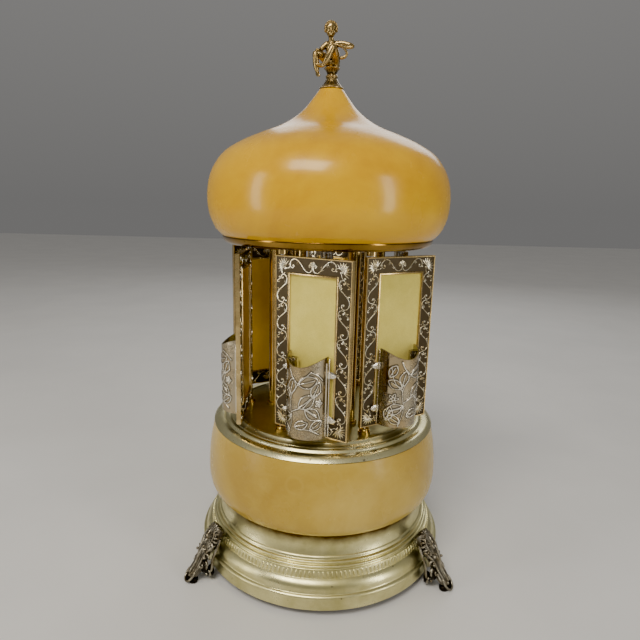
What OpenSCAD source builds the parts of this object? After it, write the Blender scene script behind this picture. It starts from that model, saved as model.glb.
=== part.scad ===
/* [Base] */
// Outer radius of the base at its lowest edge
base_r = 78; // [77:0.5:78.5]
// Height of the base's lower edge above the surface it stands on
foot_clear = 4.5; // [4:0.1:5]
// Height of the base from its lower edge to the shoulder
base_h = 25.5; // [25:0.1:26]
// Thickness of the spun sheet metal of the base
base_wall = 1.6; // [1.2:0.1:2.2]
// Angle between a foot and the line that runs across the front
foot_turn = 34; // [30:1:45]
// Width of a foot's leg
foot_w = 11; // [8:0.5:14]

/* [Bowl] */
// Widest radius of the bowl above the base
belly_r = 73.4; // [72:0.2:76]
// Height of the bowl
belly_h = 45; // [42:1:48]
// Wall thickness of the bowl
belly_wall = 4; // [3:0.5:5]

/* [Carousel] */
// Height of the open carousel from the platform to the top plate
carousel_h = 107; // [100:1:120]
// Radius on which the pillars stand
pillar_r = 33; // [32:0.5:33]
// Diameter of a pillar
pillar_d = 5.2; // [4:0.2:6]

/* [Doors] */
// Width of a door
door_w = 47; // [45:0.5:47]
// Height of a door
door_h = 97.5; // [90:0.5:98]
// Thickness of a door's frame
door_t = 2.8; // [2.6:0.1:3.2]
// Width of the frame beside the window
stile_w = 9.3; // [7:0.1:10]
// Height of the frame above and below the window
rail_h = 10; // [8:0.5:12]
// Distance from the pivot axis to the door's hinge edge
door_tail = 3.5; // [3:0.1:3.6]
// Turn of a door away from the radius through its pivot when open
door_open = 90; // [88:1:93]

/* [Holders] */
// Outer radius of the half-round holder
holder_r = 12.5; // [10:0.5:12.5]
// Height of the holder
holder_h = 45; // [35:1:50]
// Sheet thickness of the holder
holder_t = 0.8; // [0.6:0.1:1.2]

/* [Dome] */
// Height of the dome from its rim to the finial
dome_h = 83; // [78:1:90]
// Wall thickness of the dome
dome_wall = 2; // [1.5:0.1:2.4]

/* [Hidden] */

door_n = 6;
pivot_r = 48;            // radius on which the door pivots stand
shaft_r = 0.9;           // a door's pivot
spindle_r = 4;           // the central spindle
run = 0.04;              // radial clearance of a running fit
loose = 0.2;             // clearance of a screw in its hole
seg = 72;                // sides of the larger round parts
sun_teeth = 36;
pinion_teeth = 12;
gear_m = 2;
gear_t = 4;

shoulder_z = foot_clear + base_h;
belly_z = shoulder_z + 13;
deck_z = belly_z + belly_h;         // top of the bowl
plate_z = deck_z + 6;               // top of the platform plate
plate_t = 2;
top_z = plate_z + carousel_h;       // underside of the top plate
top_t = 2.4;
top_r = 57.2;
rim_z = top_z + top_t;              // where the rim meets the dome
gear_z = rim_z + 3.6;
door_z = plate_z + 3.6;
apex_z = rim_z + dome_h;
ring_in = 55;

cover_z = foot_clear + 3.5;           // underside of the bottom cover
cover_t = 2;
block_z = cover_z + cover_t;        // underside of the mounting ring
block_h = 22;
step_h = 9;                         // height of the ring's wide lower part
step_in = 6.2;                      // how much narrower its upper part is
block_in = 54;
block_out = base_r - 7.4;
cover_screw_r = 66;
foot_bolt_z = 22;
foot_bolt_len = 31;
rod_r = 58;                         // tie rods
rod_a = 30;

move_z = block_z + 2;               // top of the movement's bedplate
barrel_r = 15;
barrel_h = 17;
cylinder_z = 34.8;                  // axis of the pinned cylinder
cheek_x = [15.2, 38];
fan_at = [30, -13.5];
lever_at = [24, -14];
lever_z = plate_z - plate_t - 7;
cam_low = 7.5;
cam_rise = 2.4;

urn_z = apex_z;
urn_h = 12;
seat_z = urn_z + urn_h;
head_at = [-1.1, -1, 19.6];

win_w = door_w - 2 * stile_w;
win_h = door_h - 2 * rail_h;
sheet_t = 0.5;
rebate = 1.2;                       // how far a sheet reaches behind the frame's edge
mid_x = door_w / 2 - door_tail;
holder_x = mid_x - 0.5;
holder_y = -door_t / 2 - 0.45;
holder_z = 1.4;
curl_r = [3.2, 2];                  // curls on the hinge side and on the free side

press_a = 25;                       // pressure angle of the gears
backlash = 0.3;

// Angle of door k's pivot about the spindle; door 1 stands at the front left
function pivot_a(k) = 240 + 60 * (k - 1);

// Smooth curve through the points p, n steps between neighbours (Catmull-Rom)
function at(p, i) = p[max(0, min(len(p) - 1, i))];
function spline(p, n) = [
  for (i = [0:len(p) - 2]) for (j = [0:n - 1]) let (t = j / n)
    0.5 * (2 * at(p, i) + (at(p, i + 1) - at(p, i - 1)) * t
      + (2 * at(p, i - 1) - 5 * at(p, i) + 4 * at(p, i + 1) - at(p, i + 2)) * t * t
      + (3 * at(p, i) - at(p, i - 1) - 3 * at(p, i + 1) + at(p, i + 2)) * t * t * t),
  p[len(p) - 1]
];
// The curve p moved sideways by w, to the left of its direction
function side(p, w) = [
  for (i = [0:len(p) - 1]) let (d = at(p, i + 1) - at(p, i - 1))
    p[i] + w * [-d[1], d[0]] / norm(d)
];
function flip(p) = [for (i = [len(p) - 1:-1:0]) p[i]];

// A wall of thickness w inside the outline p, turned about the axis
module spun_shell(p, w) {
  rotate_extrude($fn = seg) polygon(concat(p, flip(side(p, w))));
}
module tube(r1, r2, h) {
  difference() {
    cylinder(r = r2, h = h, $fn = seg);
    translate([0, 0, -1]) cylinder(r = r1, h = h + 2, $fn = seg);
  }
}
// Children copied n times about the axis at radius r, the first at angle a
module ring_of(n, r, a = 0) {
  for (i = [0:n - 1]) rotate(a + 360 * i / n) translate([r, 0, 0]) children();
}

// ---- Gears: involute flanks, shortened teeth and a little backlash
function involute(a) = tan(a) * 180 / PI - a;
function half_tooth(n, r) = let (rp = n * gear_m / 2, rb = rp * cos(press_a))
  90 / n - backlash / 4 / rp * 180 / PI + involute(press_a) - involute(acos(min(1, rb / r)));
function tooth(n) = let (rp = n * gear_m / 2, rb = rp * cos(press_a), lo = rp - 1.2 * gear_m,
    hi = rp + 0.8 * gear_m, foot = max(lo, rb), r = [for (i = [0:4]) foot + (hi - foot) * i / 4])
  concat([[lo - 0.6, half_tooth(n, foot)]], [for (x = r) [x, half_tooth(n, x)]]);
module gear(n, h) {
  lo = n * gear_m / 2 - 1.2 * gear_m;
  t = tooth(n);
  linear_extrude(h) {
    circle(r = lo, $fn = 4 * n);
    for (i = [0:n - 1]) rotate(360 * i / n) polygon(concat(
      [for (q = t) q[0] * [cos(q[1]), sin(q[1])]],
      [for (q = flip(t)) q[0] * [cos(q[1]), -sin(q[1])]]));
  }
}

// ---- Base
// Outline of the base from its lower edge up to the neck under the bowl
base_edge = [
  [base_r - 0.5, 0], [base_r, 1], [base_r, 6.4], [base_r + 0.2, 7.8], [base_r - 0.2, 8.8],
  [base_r - 1.6, 9.6], [base_r - 2, 10.6], [base_r - 2.3, 12.6], [base_r - 3.4, 14.8],
  [base_r - 5.3, 15.8], [base_r - 5.6, 16.4], [base_r - 6.6, 20.4], [base_r - 7.4, 20.9],
  [base_r - 7.2, 21.9], [base_r - 8.3, 22.7], [base_r - 8.2, 23.7], [base_r - 9.4, 24.6],
  [base_r - 10.6, base_h], [base_r - 11.6, base_h + 2], [base_r - 12.2, base_h + 4.6],
  [base_r - 12.2, base_h + 8.6], [base_r - 11.8, base_h + 12.8]
];
module base_shell() {
  color("#b9a878") difference() {
    translate([0, 0, foot_clear]) spun_shell(base_edge, base_wall);
    for (a = foot_a) rotate(a) foot_bolt_line(1.5 + loose);
  }
}
// Turned wooden ring that fills the base and holds every screw
module mounting_ring() {
  color("#9c7a4c") translate([0, 0, block_z]) difference() {
    union() {
      tube(block_in, block_out, step_h);
      tube(block_in, block_out - step_in, block_h);
    }
    for (a = foot_a) rotate(a) translate([0, 0, -block_z]) foot_bolt_line(1.5, 40);
    ring_of(3, cover_screw_r, 90) translate([0, 0, -1]) cylinder(r = 1.4, h = 13, $fn = 24);
    ring_of(3, rod_r, rod_a) translate([0, 0, block_h - 12]) cylinder(r = 1.9, h = 13, $fn = 24);
  }
}
module bottom_cover() {
  color("#6d5a3a") translate([0, 0, cover_z]) difference() {
    cylinder(r = base_r - 2.2, h = cover_t, $fn = seg);
    translate([0, 0, -1]) cylinder(r = 4, h = cover_t + 2, $fn = 36);
    ring_of(3, cover_screw_r, 90) translate([0, 0, -1]) cylinder(r = 1.6, h = 9, $fn = 24);
  }
}
module base_screws() {
  color("#8a7f66") {
    ring_of(3, cover_screw_r, 90) translate([0, 0, cover_z - 1.2]) {
      cylinder(r = 2.8, h = 1.2, $fn = 24);
      cylinder(r = 1.4, h = 12, $fn = 24);
    }
    for (a = foot_a) rotate(a) {
      foot_bolt_line(1.5);
      translate([block_in - 2.4, 0, foot_bolt_z]) rotate([0, 90, 0]) cylinder(r = 3, h = 2, $fn = 24);
    }
  }
}

// ---- Feet: a shell mask on the slope, an S-shaped leg and a scrolled toe
foot_a = [foot_turn, 180 - foot_turn, 180 + foot_turn, 360 - foot_turn];
// Line of the bolt that runs from inside the ring, through the shell, into the foot
module foot_bolt_line(r, len = foot_bolt_len) {
  translate([base_r + 4 - len, 0, foot_bolt_z]) rotate([0, 90, 0]) cylinder(r = r, h = len, $fn = 24);
}
foot_back = [[70.2, 32], [71.6, 27], [73.4, 20.5], [76.4, 17], [79, 14.2], [79, 4], [84, 3.2], [87.5, 0]];
foot_front = [[95, 0], [95.8, 3.4], [92.5, 8], [90, 13], [87.6, 18], [84.6, 23], [80.6, 28], [75.6, 32.4]];
module one_foot() {
  difference() {
    union() {
      rotate([90, 0, 0]) translate([0, 0, -foot_w / 2]) linear_extrude(foot_w)
        polygon(concat(foot_back, spline(foot_front, 3)));
      // shell-shaped mask, leaning back with the slope of the base
      translate([75.6, 0, 22.9]) rotate([0, 57, 0]) cylinder(r = 8.4, h = 5, $fn = 48);
      translate([91.6, 0, 3]) rotate([90, 0, 0]) cylinder(r = 3, h = foot_w + 2, center = true, $fn = 36);
    }
    foot_bolt_line(1.5 + loose);
  }
}
module feet() {
  color("#6f6a60") for (a = foot_a) rotate(a) one_foot();
}

// ---- Bowl between base and platform
belly_edge = [
  [belly_r - 7.6, 0], [belly_r - 3.6, 2.3], [belly_r - 1.2, 6.4], [belly_r - 0.1, 12],
  [belly_r, 18], [belly_r - 0.4, 25], [belly_r - 1.3, 33], [belly_r - 2.7, 40], [belly_r - 3.8, belly_h]
];
module belly_ring() {
  color("#cfa24a") translate([0, 0, belly_z]) difference() {
    spun_shell(spline(belly_edge, 3), belly_wall);
    translate([0, 0, -5]) cylinder(r = 200, h = 5, $fn = 4);
    translate([0, 0, belly_h]) cylinder(r = 200, h = 5, $fn = 4);
  }
}

// ---- Platform
deck_edge = [
  [69.9, 0], [70.4, 1], [69.5, 2.4], [66.6, 3.2], [63.2, 3.3], [62.5, 2.8], [61.8, 4], [60.6, 4.6],
  [59.4, 4.2], [57.6, 5.4], [56.2, 6.5], [ring_in, 6.3], [ring_in, 4]
];
module platform_ring() {
  color("#c8bb92") translate([0, 0, deck_z]) rotate_extrude($fn = seg)
    polygon(concat(spline(deck_edge, 2), [[59.6, 3], [61.6, 1.8], [67.4, 1.6], [68.4, 0]]));
}
module platform_plate() {
  color("#8f8753") translate([0, 0, plate_z - plate_t]) difference() {
    cylinder(r = ring_in - 0.1, h = plate_t, $fn = seg);
    translate([0, 0, -1]) {
      cylinder(r = 6, h = 9, $fn = 36);
      ring_of(door_n, pivot_r) cylinder(r = 2.6, h = 9, $fn = 36);
      ring_of(door_n, pillar_r) cylinder(r = 1.6, h = 9, $fn = 24);
    }
  }
}
// Long screws that hold the platform, the bowl and the base together
module tie_rods() {
  lug_w = 9;
  color("#8a7f66") ring_of(3, rod_r, rod_a) {
    translate([0, 0, block_z + block_h - 10])
      cylinder(r = 1.8, h = deck_z - 2.6 - block_z - block_h + 10, $fn = 24);
    translate([0, 0, deck_z - 2.6]) cylinder(r = 3.2, h = 3.6, $fn = 6);
    // lug that reaches inwards under the platform plate
    translate([-9.5, -lug_w / 2, deck_z + 1]) cube([11.5, lug_w, 1.6]);
    translate([-9.5, -lug_w / 2, deck_z + 1]) cube([5.8, lug_w, 3]);
  }
}
module pillars() {
  color("#c9a552") ring_of(door_n, pillar_r) {
    translate([0, 0, plate_z]) cylinder(d = pillar_d, h = carousel_h, $fn = 36);
    translate([0, 0, plate_z]) cylinder(d = pillar_d + 2.4, h = 1.6, $fn = 36);
    translate([0, 0, top_z - 1.6]) cylinder(d = pillar_d + 2.4, h = 1.6, $fn = 36);
    translate([0, 0, plate_z - plate_t - 3])
      cylinder(r = 1.5, h = carousel_h + plate_t + top_t + 4.6, $fn = 24);
  }
}
module pillar_nuts() {
  nut_h = 2.2;
  color("#a3905e") ring_of(door_n, pillar_r)
    for (z = [plate_z - plate_t - nut_h, rim_z]) translate([0, 0, z]) difference() {
      cylinder(r = 3, h = nut_h, $fn = 6);
      translate([0, 0, -1]) cylinder(r = 1.55, h = 9, $fn = 24);
    }
}
module top_plate() {
  color("#8f8753") translate([0, 0, top_z]) difference() {
    cylinder(r = top_r, h = top_t, $fn = seg);
    translate([0, 0, -1]) {
      cylinder(r = 6, h = 9, $fn = 36);
      ring_of(door_n, pivot_r) cylinder(r = 2.6, h = 9, $fn = 36);
      ring_of(door_n, pillar_r) cylinder(r = 1.6, h = 9, $fn = 24);
    }
  }
}
// Turned collars in which the doors' pivots run
module pivot_bushes() {
  bore = shaft_r + run;
  color("#c9a552") ring_of(door_n, pivot_r) {
    translate([0, 0, plate_z - plate_t]) difference() {
      union() {
        cylinder(r = 2.58, h = plate_t, $fn = 36);
        translate([0, 0, plate_t]) cylinder(r = 3.6, h = 1.4, $fn = 36);
        translate([0, 0, plate_t]) cylinder(r = 2.8, h = 3, $fn = 36);
      }
      translate([0, 0, -1]) cylinder(r = bore, h = 12, $fn = 36);
    }
    translate([0, 0, door_z + door_h + 0.6]) difference() {
      reach = top_z - door_z - door_h - 0.6;
      union() {
        cylinder(r = 2.8, h = reach, $fn = 36);
        translate([0, 0, reach - 1.8]) cylinder(r = 3.6, h = 1.8, $fn = 36);
        cylinder(r = 2.58, h = reach + top_t, $fn = 36);
      }
      translate([0, 0, -1]) cylinder(r = bore, h = 15, $fn = 36);
    }
  }
}
module spindle_bushes() {
  color("#c9a552") for (z = [plate_z - plate_t, top_z]) translate([0, 0, z]) difference() {
    union() {
      cylinder(r = 5.98, h = z == top_z ? top_t : plate_t, $fn = 36);
      translate([0, 0, z == top_z ? -1.6 : plate_t]) cylinder(r = 8, h = 1.6, $fn = 36);
    }
    translate([0, 0, -5]) cylinder(r = spindle_r + run, h = 15, $fn = 36);
  }
}

// ---- Musical movement in the base
module movement_plate() {
  color("#b5a36b") translate([0, 0, block_z]) difference() {
    translate([-20, -20, 0]) cube([64, 50, 2]);
    translate([0, 0, -1]) cylinder(r = 2.4, h = 9, $fn = 36);
  }
}
// Two cheeks that carry the cylinder's arbor
module cylinder_frame() {
  color("#b5a36b") for (x = cheek_x) difference() {
    translate([x, -6, move_z]) cube([1.4, 12, cylinder_z - move_z + 4]);
    translate([x - 1, 0, cylinder_z]) rotate([0, 90, 0]) cylinder(r = 1 + run, h = 4, $fn = 36);
  }
}
// Steel comb of tuned teeth on its bracket, the teeth's tips at the cylinder
module comb() {
  teeth = 18;
  pitch = 1.08;
  color("#9aa0a6") difference() {
    union() {
      translate([17.4, 7, cylinder_z - 0.5]) cube([19.8, 21, 1]);
      translate([17.4, 17, move_z]) cube([19.8, 11, cylinder_z - move_z - 0.5]);
    }
    for (i = [1:teeth - 1])
      translate([17.4 + i * pitch + 0.1, 6, cylinder_z - 2]) cube([0.35, 10.5 - 0.25 * i, 4]);
    for (x = [21, 33]) translate([x, 23, move_z + 8]) cylinder(r = 1.2, h = 40, $fn = 24);
  }
}
module governor_frame() {
  color("#b5a36b") difference() {
    translate([fan_at[0] - 3, fan_at[1] - 6, move_z]) union() {
      cube([6, 12, 1.6]);
      cube([6, 1.2, 20]);
      translate([0, 0, 18.4]) cube([6, 9, 1.6]);
    }
    for (z = [move_z + 0.6, move_z + 18])
      translate([fan_at[0], fan_at[1], z]) cylinder(r = 0.75 + run, h = 4, $fn = 24);
  }
}
module governor_fan() {
  color("#c9b98a") translate([fan_at[0], fan_at[1], 0]) {
    translate([0, 0, move_z + 0.8]) cylinder(r = 0.75, h = 18.8, $fn = 24);
    translate([0, 0, move_z + 3]) cylinder(r = 1.5, h = 5, $fn = 24);
    translate([-4.3, -0.3, move_z + 10]) cube([8.6, 0.6, 7]);
  }
}
module spring_barrel() {
  crown = 40;
  color("#c9a552") difference() {
    union() {
      translate([0, 0, move_z + 0.6]) cylinder(r = barrel_r, h = barrel_h - 0.6, $fn = seg);
      translate([0, 0, move_z + barrel_h]) difference() {
        cylinder(r = barrel_r - 1, h = 1.4, $fn = seg);
        translate([0, 0, -1]) cylinder(r = barrel_r - 3.6, h = 9, $fn = seg);
        for (i = [0:crown - 1]) rotate(360 * i / crown) translate([5, -0.6, 0.2]) cube([15, 1.2, 3]);
      }
    }
    translate([0, 0, move_z + 2]) tube(5, barrel_r - 1, barrel_h - 3.4);
    cylinder(r = 2 + run, h = 90, $fn = 36);
  }
}
// Brass cylinder set with pins, its arbor and its driving pinion
module pin_cylinder() {
  pin_rows = 17;
  color("#d2b25c") translate([0, 0, cylinder_z]) rotate([0, 90, 0]) {
    translate([0, 0, 17.4]) cylinder(r = 5.6, h = 19.8, $fn = 48);
    translate([0, 0, 10]) cylinder(r = 1, h = 31, $fn = 24);
    translate([0, 0, 11.2]) cylinder(r = 3.6, h = 3, $fn = 10);
    for (i = [0:pin_rows - 1]) rotate(77 * i) translate([5, -0.25, 18 + 1.08 * i]) cube([1.3, 0.5, 0.5]);
  }
}
module winding_key() {
  wing = 11;
  color("#b9b3a6") {
    translate([0, 0, 2]) cylinder(r = 2, h = move_z + barrel_h + 2, $fn = 36);
    translate([0, 0, 1.6]) cylinder(r = 3.2, h = 5.2, $fn = 36);
    for (s = [0, 180]) rotate(s) difference() {
      union() {
        translate([0, -1.1, 1.6]) cube([wing, 2.2, 5]);
        translate([wing, 0, 4.1]) rotate([90, 0, 0]) cylinder(r = 2.5, h = 2.2, center = true, $fn = 36);
      }
      translate([wing - 1.6, 0, 4.1]) rotate([90, 0, 0]) cylinder(r = 1.2, h = 9, center = true, $fn = 24);
    }
  }
}
// Lever under the platform that a cam on the spindle swings against the fan
module stop_lever() {
  color("#a8a294") translate([lever_at[0], lever_at[1], 0]) {
    translate([0, 0, lever_z]) cylinder(r = 3, h = 2, $fn = 36);
    translate([0, 0, lever_z]) cylinder(r = 1.2, h = plate_z - plate_t - lever_z, $fn = 24);
    translate([-11, -1.2, lever_z]) cube([22, 2.4, 1.6]);
    translate([9, -1.2, 44]) cube([1.2, 2.4, lever_z - 43.6]);
  }
}

// ---- Dome, turned by hand, with the gear that turns the doors
dome_edge = [
  [63, 0], [66.8, 3.8], [69.6, 9.5], [71.2, 16.5], [71.3, 25], [69.9, 33], [66.8, 40], [61.4, 46.8],
  [52.6, 52.4], [42, 57.2], [31, 61.6], [22.4, 66.4], [15.4, 72.2], [10.4, 78.4], [7, dome_h]
];
module dome_shell() {
  color("#dea93c") translate([0, 0, rim_z]) difference() {
    spun_shell(spline(dome_edge, 3), dome_wall);
    translate([0, 0, dome_h - 0.001]) cylinder(r = 200, h = 9, $fn = 4);
  }
}
module dome_rim() {
  color("#a3843e") translate([0, 0, rim_z]) rotate_extrude($fn = seg) polygon([
    [58, -4.7], [60.4, -4.1], [62.2, -2.6], [63.2, -0.8], [63.4, -0.2], [62.9, 0],
    [60.6, 0], [60, -1.2], [58, -2]
  ]);
}
module sun_gear() {
  color("#c9a552") translate([0, 0, gear_z]) difference() {
    union() {
      gear(sun_teeth, gear_t);
      cylinder(r = 9, h = gear_t + 5, $fn = 48);
    }
    translate([0, 0, -1]) cylinder(r = spindle_r + 0.01, h = 20, $fn = 36);
    ring_of(6, 20, 30) translate([0, 0, -1]) cylinder(r = 6.5, h = 20, $fn = 36);
  }
}
module spindle() {
  collar_z = plate_z + 1.65;
  dome_nut_z = apex_z - 8;
  color("#b9b3a6") {
    translate([0, 0, lever_z - 3]) cylinder(r = spindle_r, h = dome_nut_z - lever_z + 3, $fn = 36);
    translate([0, 0, collar_z]) cylinder(r = 6.6, h = 2, $fn = 36);
    translate([0, 0, dome_nut_z - 4]) cylinder(r = 7.2, h = 4, $fn = 6);
    translate([0, 0, dome_nut_z]) cylinder(r = 2.5, h = 14, $fn = 24);
    translate([0, 0, lever_z - 0.4]) linear_extrude(2.4)
      polygon([for (a = [0:10:350]) (cam_low + cam_rise * a / 360) * [cos(a), sin(a)]]);
  }
}
// Three arms on the spindle that carry the dome
module dome_spider() {
  color("#b9b3a6") translate([0, 0, gear_z + gear_t + 5.2]) difference() {
    union() {
      cylinder(r = 9, h = 2, $fn = 48);
      for (i = [0:2]) rotate(30 + 120 * i) translate([0, -3, 0]) cube([67.2, 6, 1.6]);
    }
    translate([0, 0, -1]) cylinder(r = spindle_r + 0.01, h = 9, $fn = 36);
  }
}

// ---- Finial: a small urn that carries a seated putto
urn_edge = [
  [0, 0], [7.2, 0], [7.2, 1.2], [6.2, 2], [5.2, 3.6], [3.8, 5.2], [2.9, 6.6], [3.5, 7.4], [2.8, 8.4],
  [3.2, 9.6], [4.6, 11], [4.8, urn_h], [0, urn_h]
];
module finial_urn() {
  color("#8c7440") translate([0, 0, urn_z]) difference() {
    rotate_extrude($fn = 48) polygon(urn_edge);
    translate([0, 0, -1]) cylinder(r = 2.52, h = 8, $fn = 24);
  }
}
// A limb: a round bar from p to q with rounded ends
module limb(p, q, r) {
  d = q - p;
  translate(p) {
    sphere(r = r, $fn = 24);
    rotate([0, acos(d[2] / norm(d)), atan2(d[1], d[0])]) cylinder(r = r, h = norm(d), $fn = 24);
  }
  translate(q) sphere(r = r, $fn = 24);
}
module cherub() {
  color("#8c7440") translate([0, 0, seat_z]) {
    difference() {
      limb([0.2, 1, 3.6], [-0.6, -0.2, 11], 3.8);
      translate([0, 0, -9]) cylinder(r = 20, h = 9, $fn = 4);
    }
    limb([-0.6, -0.2, 12.4], head_at - [0, 0, 2.4], 1.8);
    translate(head_at) sphere(r = 4.3, $fn = 36);
    translate(head_at + [0, 0.4, 1.4]) sphere(r = 4, $fn = 36);
    // each leg is a thigh, a shin and a foot; the ankles hang to one side
    for (leg = [[[-2, 0, 3], [-9.4, -5.2, 6], [-8.4, -5.6, -3.4], [-7, -7.6, -6]],
                [[1.8, 0, 3], [0.3, -7.6, 9], [-4.4, -8, -1], [-8.2, -8.6, -0.8]]]) {
      limb(leg[0], leg[1], 2.3);
      limb(leg[1], leg[2], 1.7);
      limb(leg[2], leg[3], 1.4);
    }
    // one hand rests on the knee, the other lifts a curved horn
    for (arm = [[[3.3, -0.2, 13], [11, -2, 11.2], [5.2, -5, 9.8]],
                [[-4, 0, 12.4], [-7, -1.4, 8.8], [-8.2, -5, 7.8]]]) {
      limb(arm[0], arm[1], 1.6);
      limb(arm[1], arm[2], 1.3);
    }
    horn = [[1.2, -6.2, 10.4], [6.2, -6, 8.6], [7.8, -5.6, 5.8], [5, -5.4, 4.4]];
    for (i = [0:2]) limb(horn[i], horn[i + 1], 0.6 + 0.25 * i);
  }
}

// ---- Doors; each is drawn along +X from its pivot, its holder on the -Y side
module place_door(k) {
  rotate(pivot_a(k)) translate([pivot_r, 0, door_z]) rotate(door_open) children();
}
module door_frame(k) {
  color("#b3aa90") place_door(k) difference() {
    union() {
      translate([-door_tail, -door_t / 2, 0]) cube([door_w, door_t, door_h]);
      // raised bead around the window, on both faces
      translate([mid_x - win_w / 2 - 1.2, -door_t / 2 - 0.4, rail_h - 1.2])
        cube([win_w + 2.4, door_t + 0.8, win_h + 2.4]);
    }
    translate([mid_x - win_w / 2, -5, rail_h]) cube([win_w, 10, win_h]);
    translate([mid_x - win_w / 2 - rebate, -sheet_t, rail_h - rebate])
      cube([win_w + 2 * rebate, 2 * sheet_t, win_h + 2 * rebate]);
    translate([0, 0, -1]) cylinder(r = shaft_r, h = 9, $fn = 36);
    translate([0, 0, door_h - 9]) cylinder(r = shaft_r, h = 19, $fn = 36);
  }
}
module sheet(y) {
  translate([mid_x - win_w / 2 - rebate + 0.1, y, rail_h - rebate + 0.1])
    cube([win_w + 2 * rebate - 0.2, sheet_t, win_h + 2 * rebate - 0.2]);
}
module lining(k) {
  color("#d8cd8c") place_door(k) sheet(-sheet_t);
}
module panel(k) {
  color("#c99a3a") place_door(k) sheet(0);
}
// Half-round holder with a floor, its edges rolled into curls, two hinge-like clips on each side
module holder(k) {
  dip = 5;
  dip_r = (holder_r * holder_r + dip * dip) / 2 / dip;
  color("#b8b2a4") place_door(k) translate([holder_x, holder_y, holder_z]) {
    difference() {
      cylinder(r = holder_r, h = holder_h, $fn = seg);
      translate([0, 0, holder_t]) cylinder(r = holder_r - holder_t, h = holder_h, $fn = seg);
      translate([-20, 0, -1]) cube([40, 20, holder_h + 2]);
      // the top edge dips in the middle
      translate([0, 0, holder_h - dip + dip_r]) rotate([90, 0, 0]) cylinder(r = dip_r, h = 60, $fn = seg);
    }
    for (s = [-1, 1]) {
      r = s < 0 ? curl_r[0] : curl_r[1];
      translate([s * (holder_r - holder_t - r + 0.2), -r, holder_t]) tube(r - holder_t, r, holder_h - 5.5);
      for (z = [0.22, 0.78]) translate([0, 0, z * holder_h - 2]) {
        translate([s * (holder_r + 2.2) - 2.4, -0.5, 0]) cube([4.8, 0.5, 4]);
        translate([s * (holder_r + 0.4), -1.1, 0]) cylinder(r = 1.1, h = 4, $fn = 24);
      }
    }
  }
}
module pivot(k) {
  color("#b9b3a6") {
    place_door(k) {
      translate([0, 0, -plate_t - 3]) cylinder(r = shaft_r, h = plate_t + 10, $fn = 36);
      translate([0, 0, door_h - 8])
        cylinder(r = shaft_r, h = gear_z + gear_t + 1 - door_z - door_h + 8, $fn = 36);
    }
    // a gap between two teeth faces the central gear
    rotate(pivot_a(k)) translate([pivot_r, 0, gear_z]) rotate(180 + 180 / pinion_teeth) union() {
      gear(pinion_teeth, gear_t);
      translate([0, 0, -1.6]) cylinder(r = 4, h = 1.7, $fn = 36);
    }
  }
}

base_shell();
mounting_ring();
bottom_cover();
base_screws();
feet();
belly_ring();
platform_ring();
platform_plate();
tie_rods();
pillars();
pillar_nuts();
top_plate();
pivot_bushes();
spindle_bushes();
movement_plate();
cylinder_frame();
comb();
governor_frame();
dome_shell();
dome_rim();
dome_spider();
sun_gear();
spindle();
finial_urn();
cherub();
winding_key();
spring_barrel();
pin_cylinder();
governor_fan();
stop_lever();
for (k = [1:door_n]) {
  door_frame(k);
  lining(k);
  panel(k);
  holder(k);
  pivot(k);
}
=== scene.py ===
import math
import bmesh
import bpy
import numpy as np
from mathutils import Matrix, Vector


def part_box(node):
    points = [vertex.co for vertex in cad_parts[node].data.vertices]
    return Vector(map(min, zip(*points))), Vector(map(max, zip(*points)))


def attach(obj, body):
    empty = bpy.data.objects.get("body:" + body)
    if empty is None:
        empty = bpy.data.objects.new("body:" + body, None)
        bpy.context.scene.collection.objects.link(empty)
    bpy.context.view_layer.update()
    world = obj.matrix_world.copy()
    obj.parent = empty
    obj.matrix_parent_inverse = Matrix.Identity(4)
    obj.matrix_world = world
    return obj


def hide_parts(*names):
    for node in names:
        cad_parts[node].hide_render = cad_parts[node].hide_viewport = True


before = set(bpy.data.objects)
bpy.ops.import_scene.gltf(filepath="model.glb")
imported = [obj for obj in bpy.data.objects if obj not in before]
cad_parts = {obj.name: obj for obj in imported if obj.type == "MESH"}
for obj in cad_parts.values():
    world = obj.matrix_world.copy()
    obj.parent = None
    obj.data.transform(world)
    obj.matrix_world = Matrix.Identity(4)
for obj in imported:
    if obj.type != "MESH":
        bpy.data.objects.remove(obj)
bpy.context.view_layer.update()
mm = 0.001


def boxOf(node):
    # lowest and highest corner of a CAD node, in millimetres
    low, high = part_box(node)
    return np.array(low) / mm, np.array(high) / mm


# shapes: every shape is a dict of points, faces, relief and finish
def gridFaces(rows, cols, wrapRows, wrapCols):
    # quads of a grid of points; a wrapped side joins its last line to its first
    i, j = np.meshgrid(np.arange(rows - (not wrapRows)), np.arange(cols - (not wrapCols)), indexing="ij")
    iNext, jNext = (i + 1) % rows, (j + 1) % cols
    return np.stack([i * cols + j, i * cols + jNext, iNext * cols + jNext, iNext * cols + j], -1).reshape(-1, 4)


def surface(grid, wrapRows=False, wrapCols=True, capStart=False, capEnd=False, relief=0.0, finish=0):
    # a grid of points as faces; a cap is a fan from one end row to its centre
    rows, cols = grid.shape[:2]
    points = grid.reshape(-1, 3)
    quads = gridFaces(rows, cols, wrapRows, wrapCols)
    tris = []
    column = np.arange(cols)
    for capped, row in ((capStart, 0), (capEnd, rows - 1)):
        if capped:
            points = np.vstack([points, grid[row].mean(0)])
            ring = row * cols + column
            tris.append(np.stack([ring, np.roll(ring, -1), np.full(cols, len(points) - 1)], -1))
    tris = np.vstack(tris) if tris else np.zeros((0, 3), int)
    if np.ndim(relief):
        level = np.append(np.ravel(relief), np.zeros(len(points) - rows * cols))   # a cap's centre has none
    else:
        level = np.full(len(points), float(relief))
    return dict(points=points, quads=quads, tris=tris, relief=level,
                quadFinish=np.full(len(quads), finish), triFinish=np.full(len(tris), finish))


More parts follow.
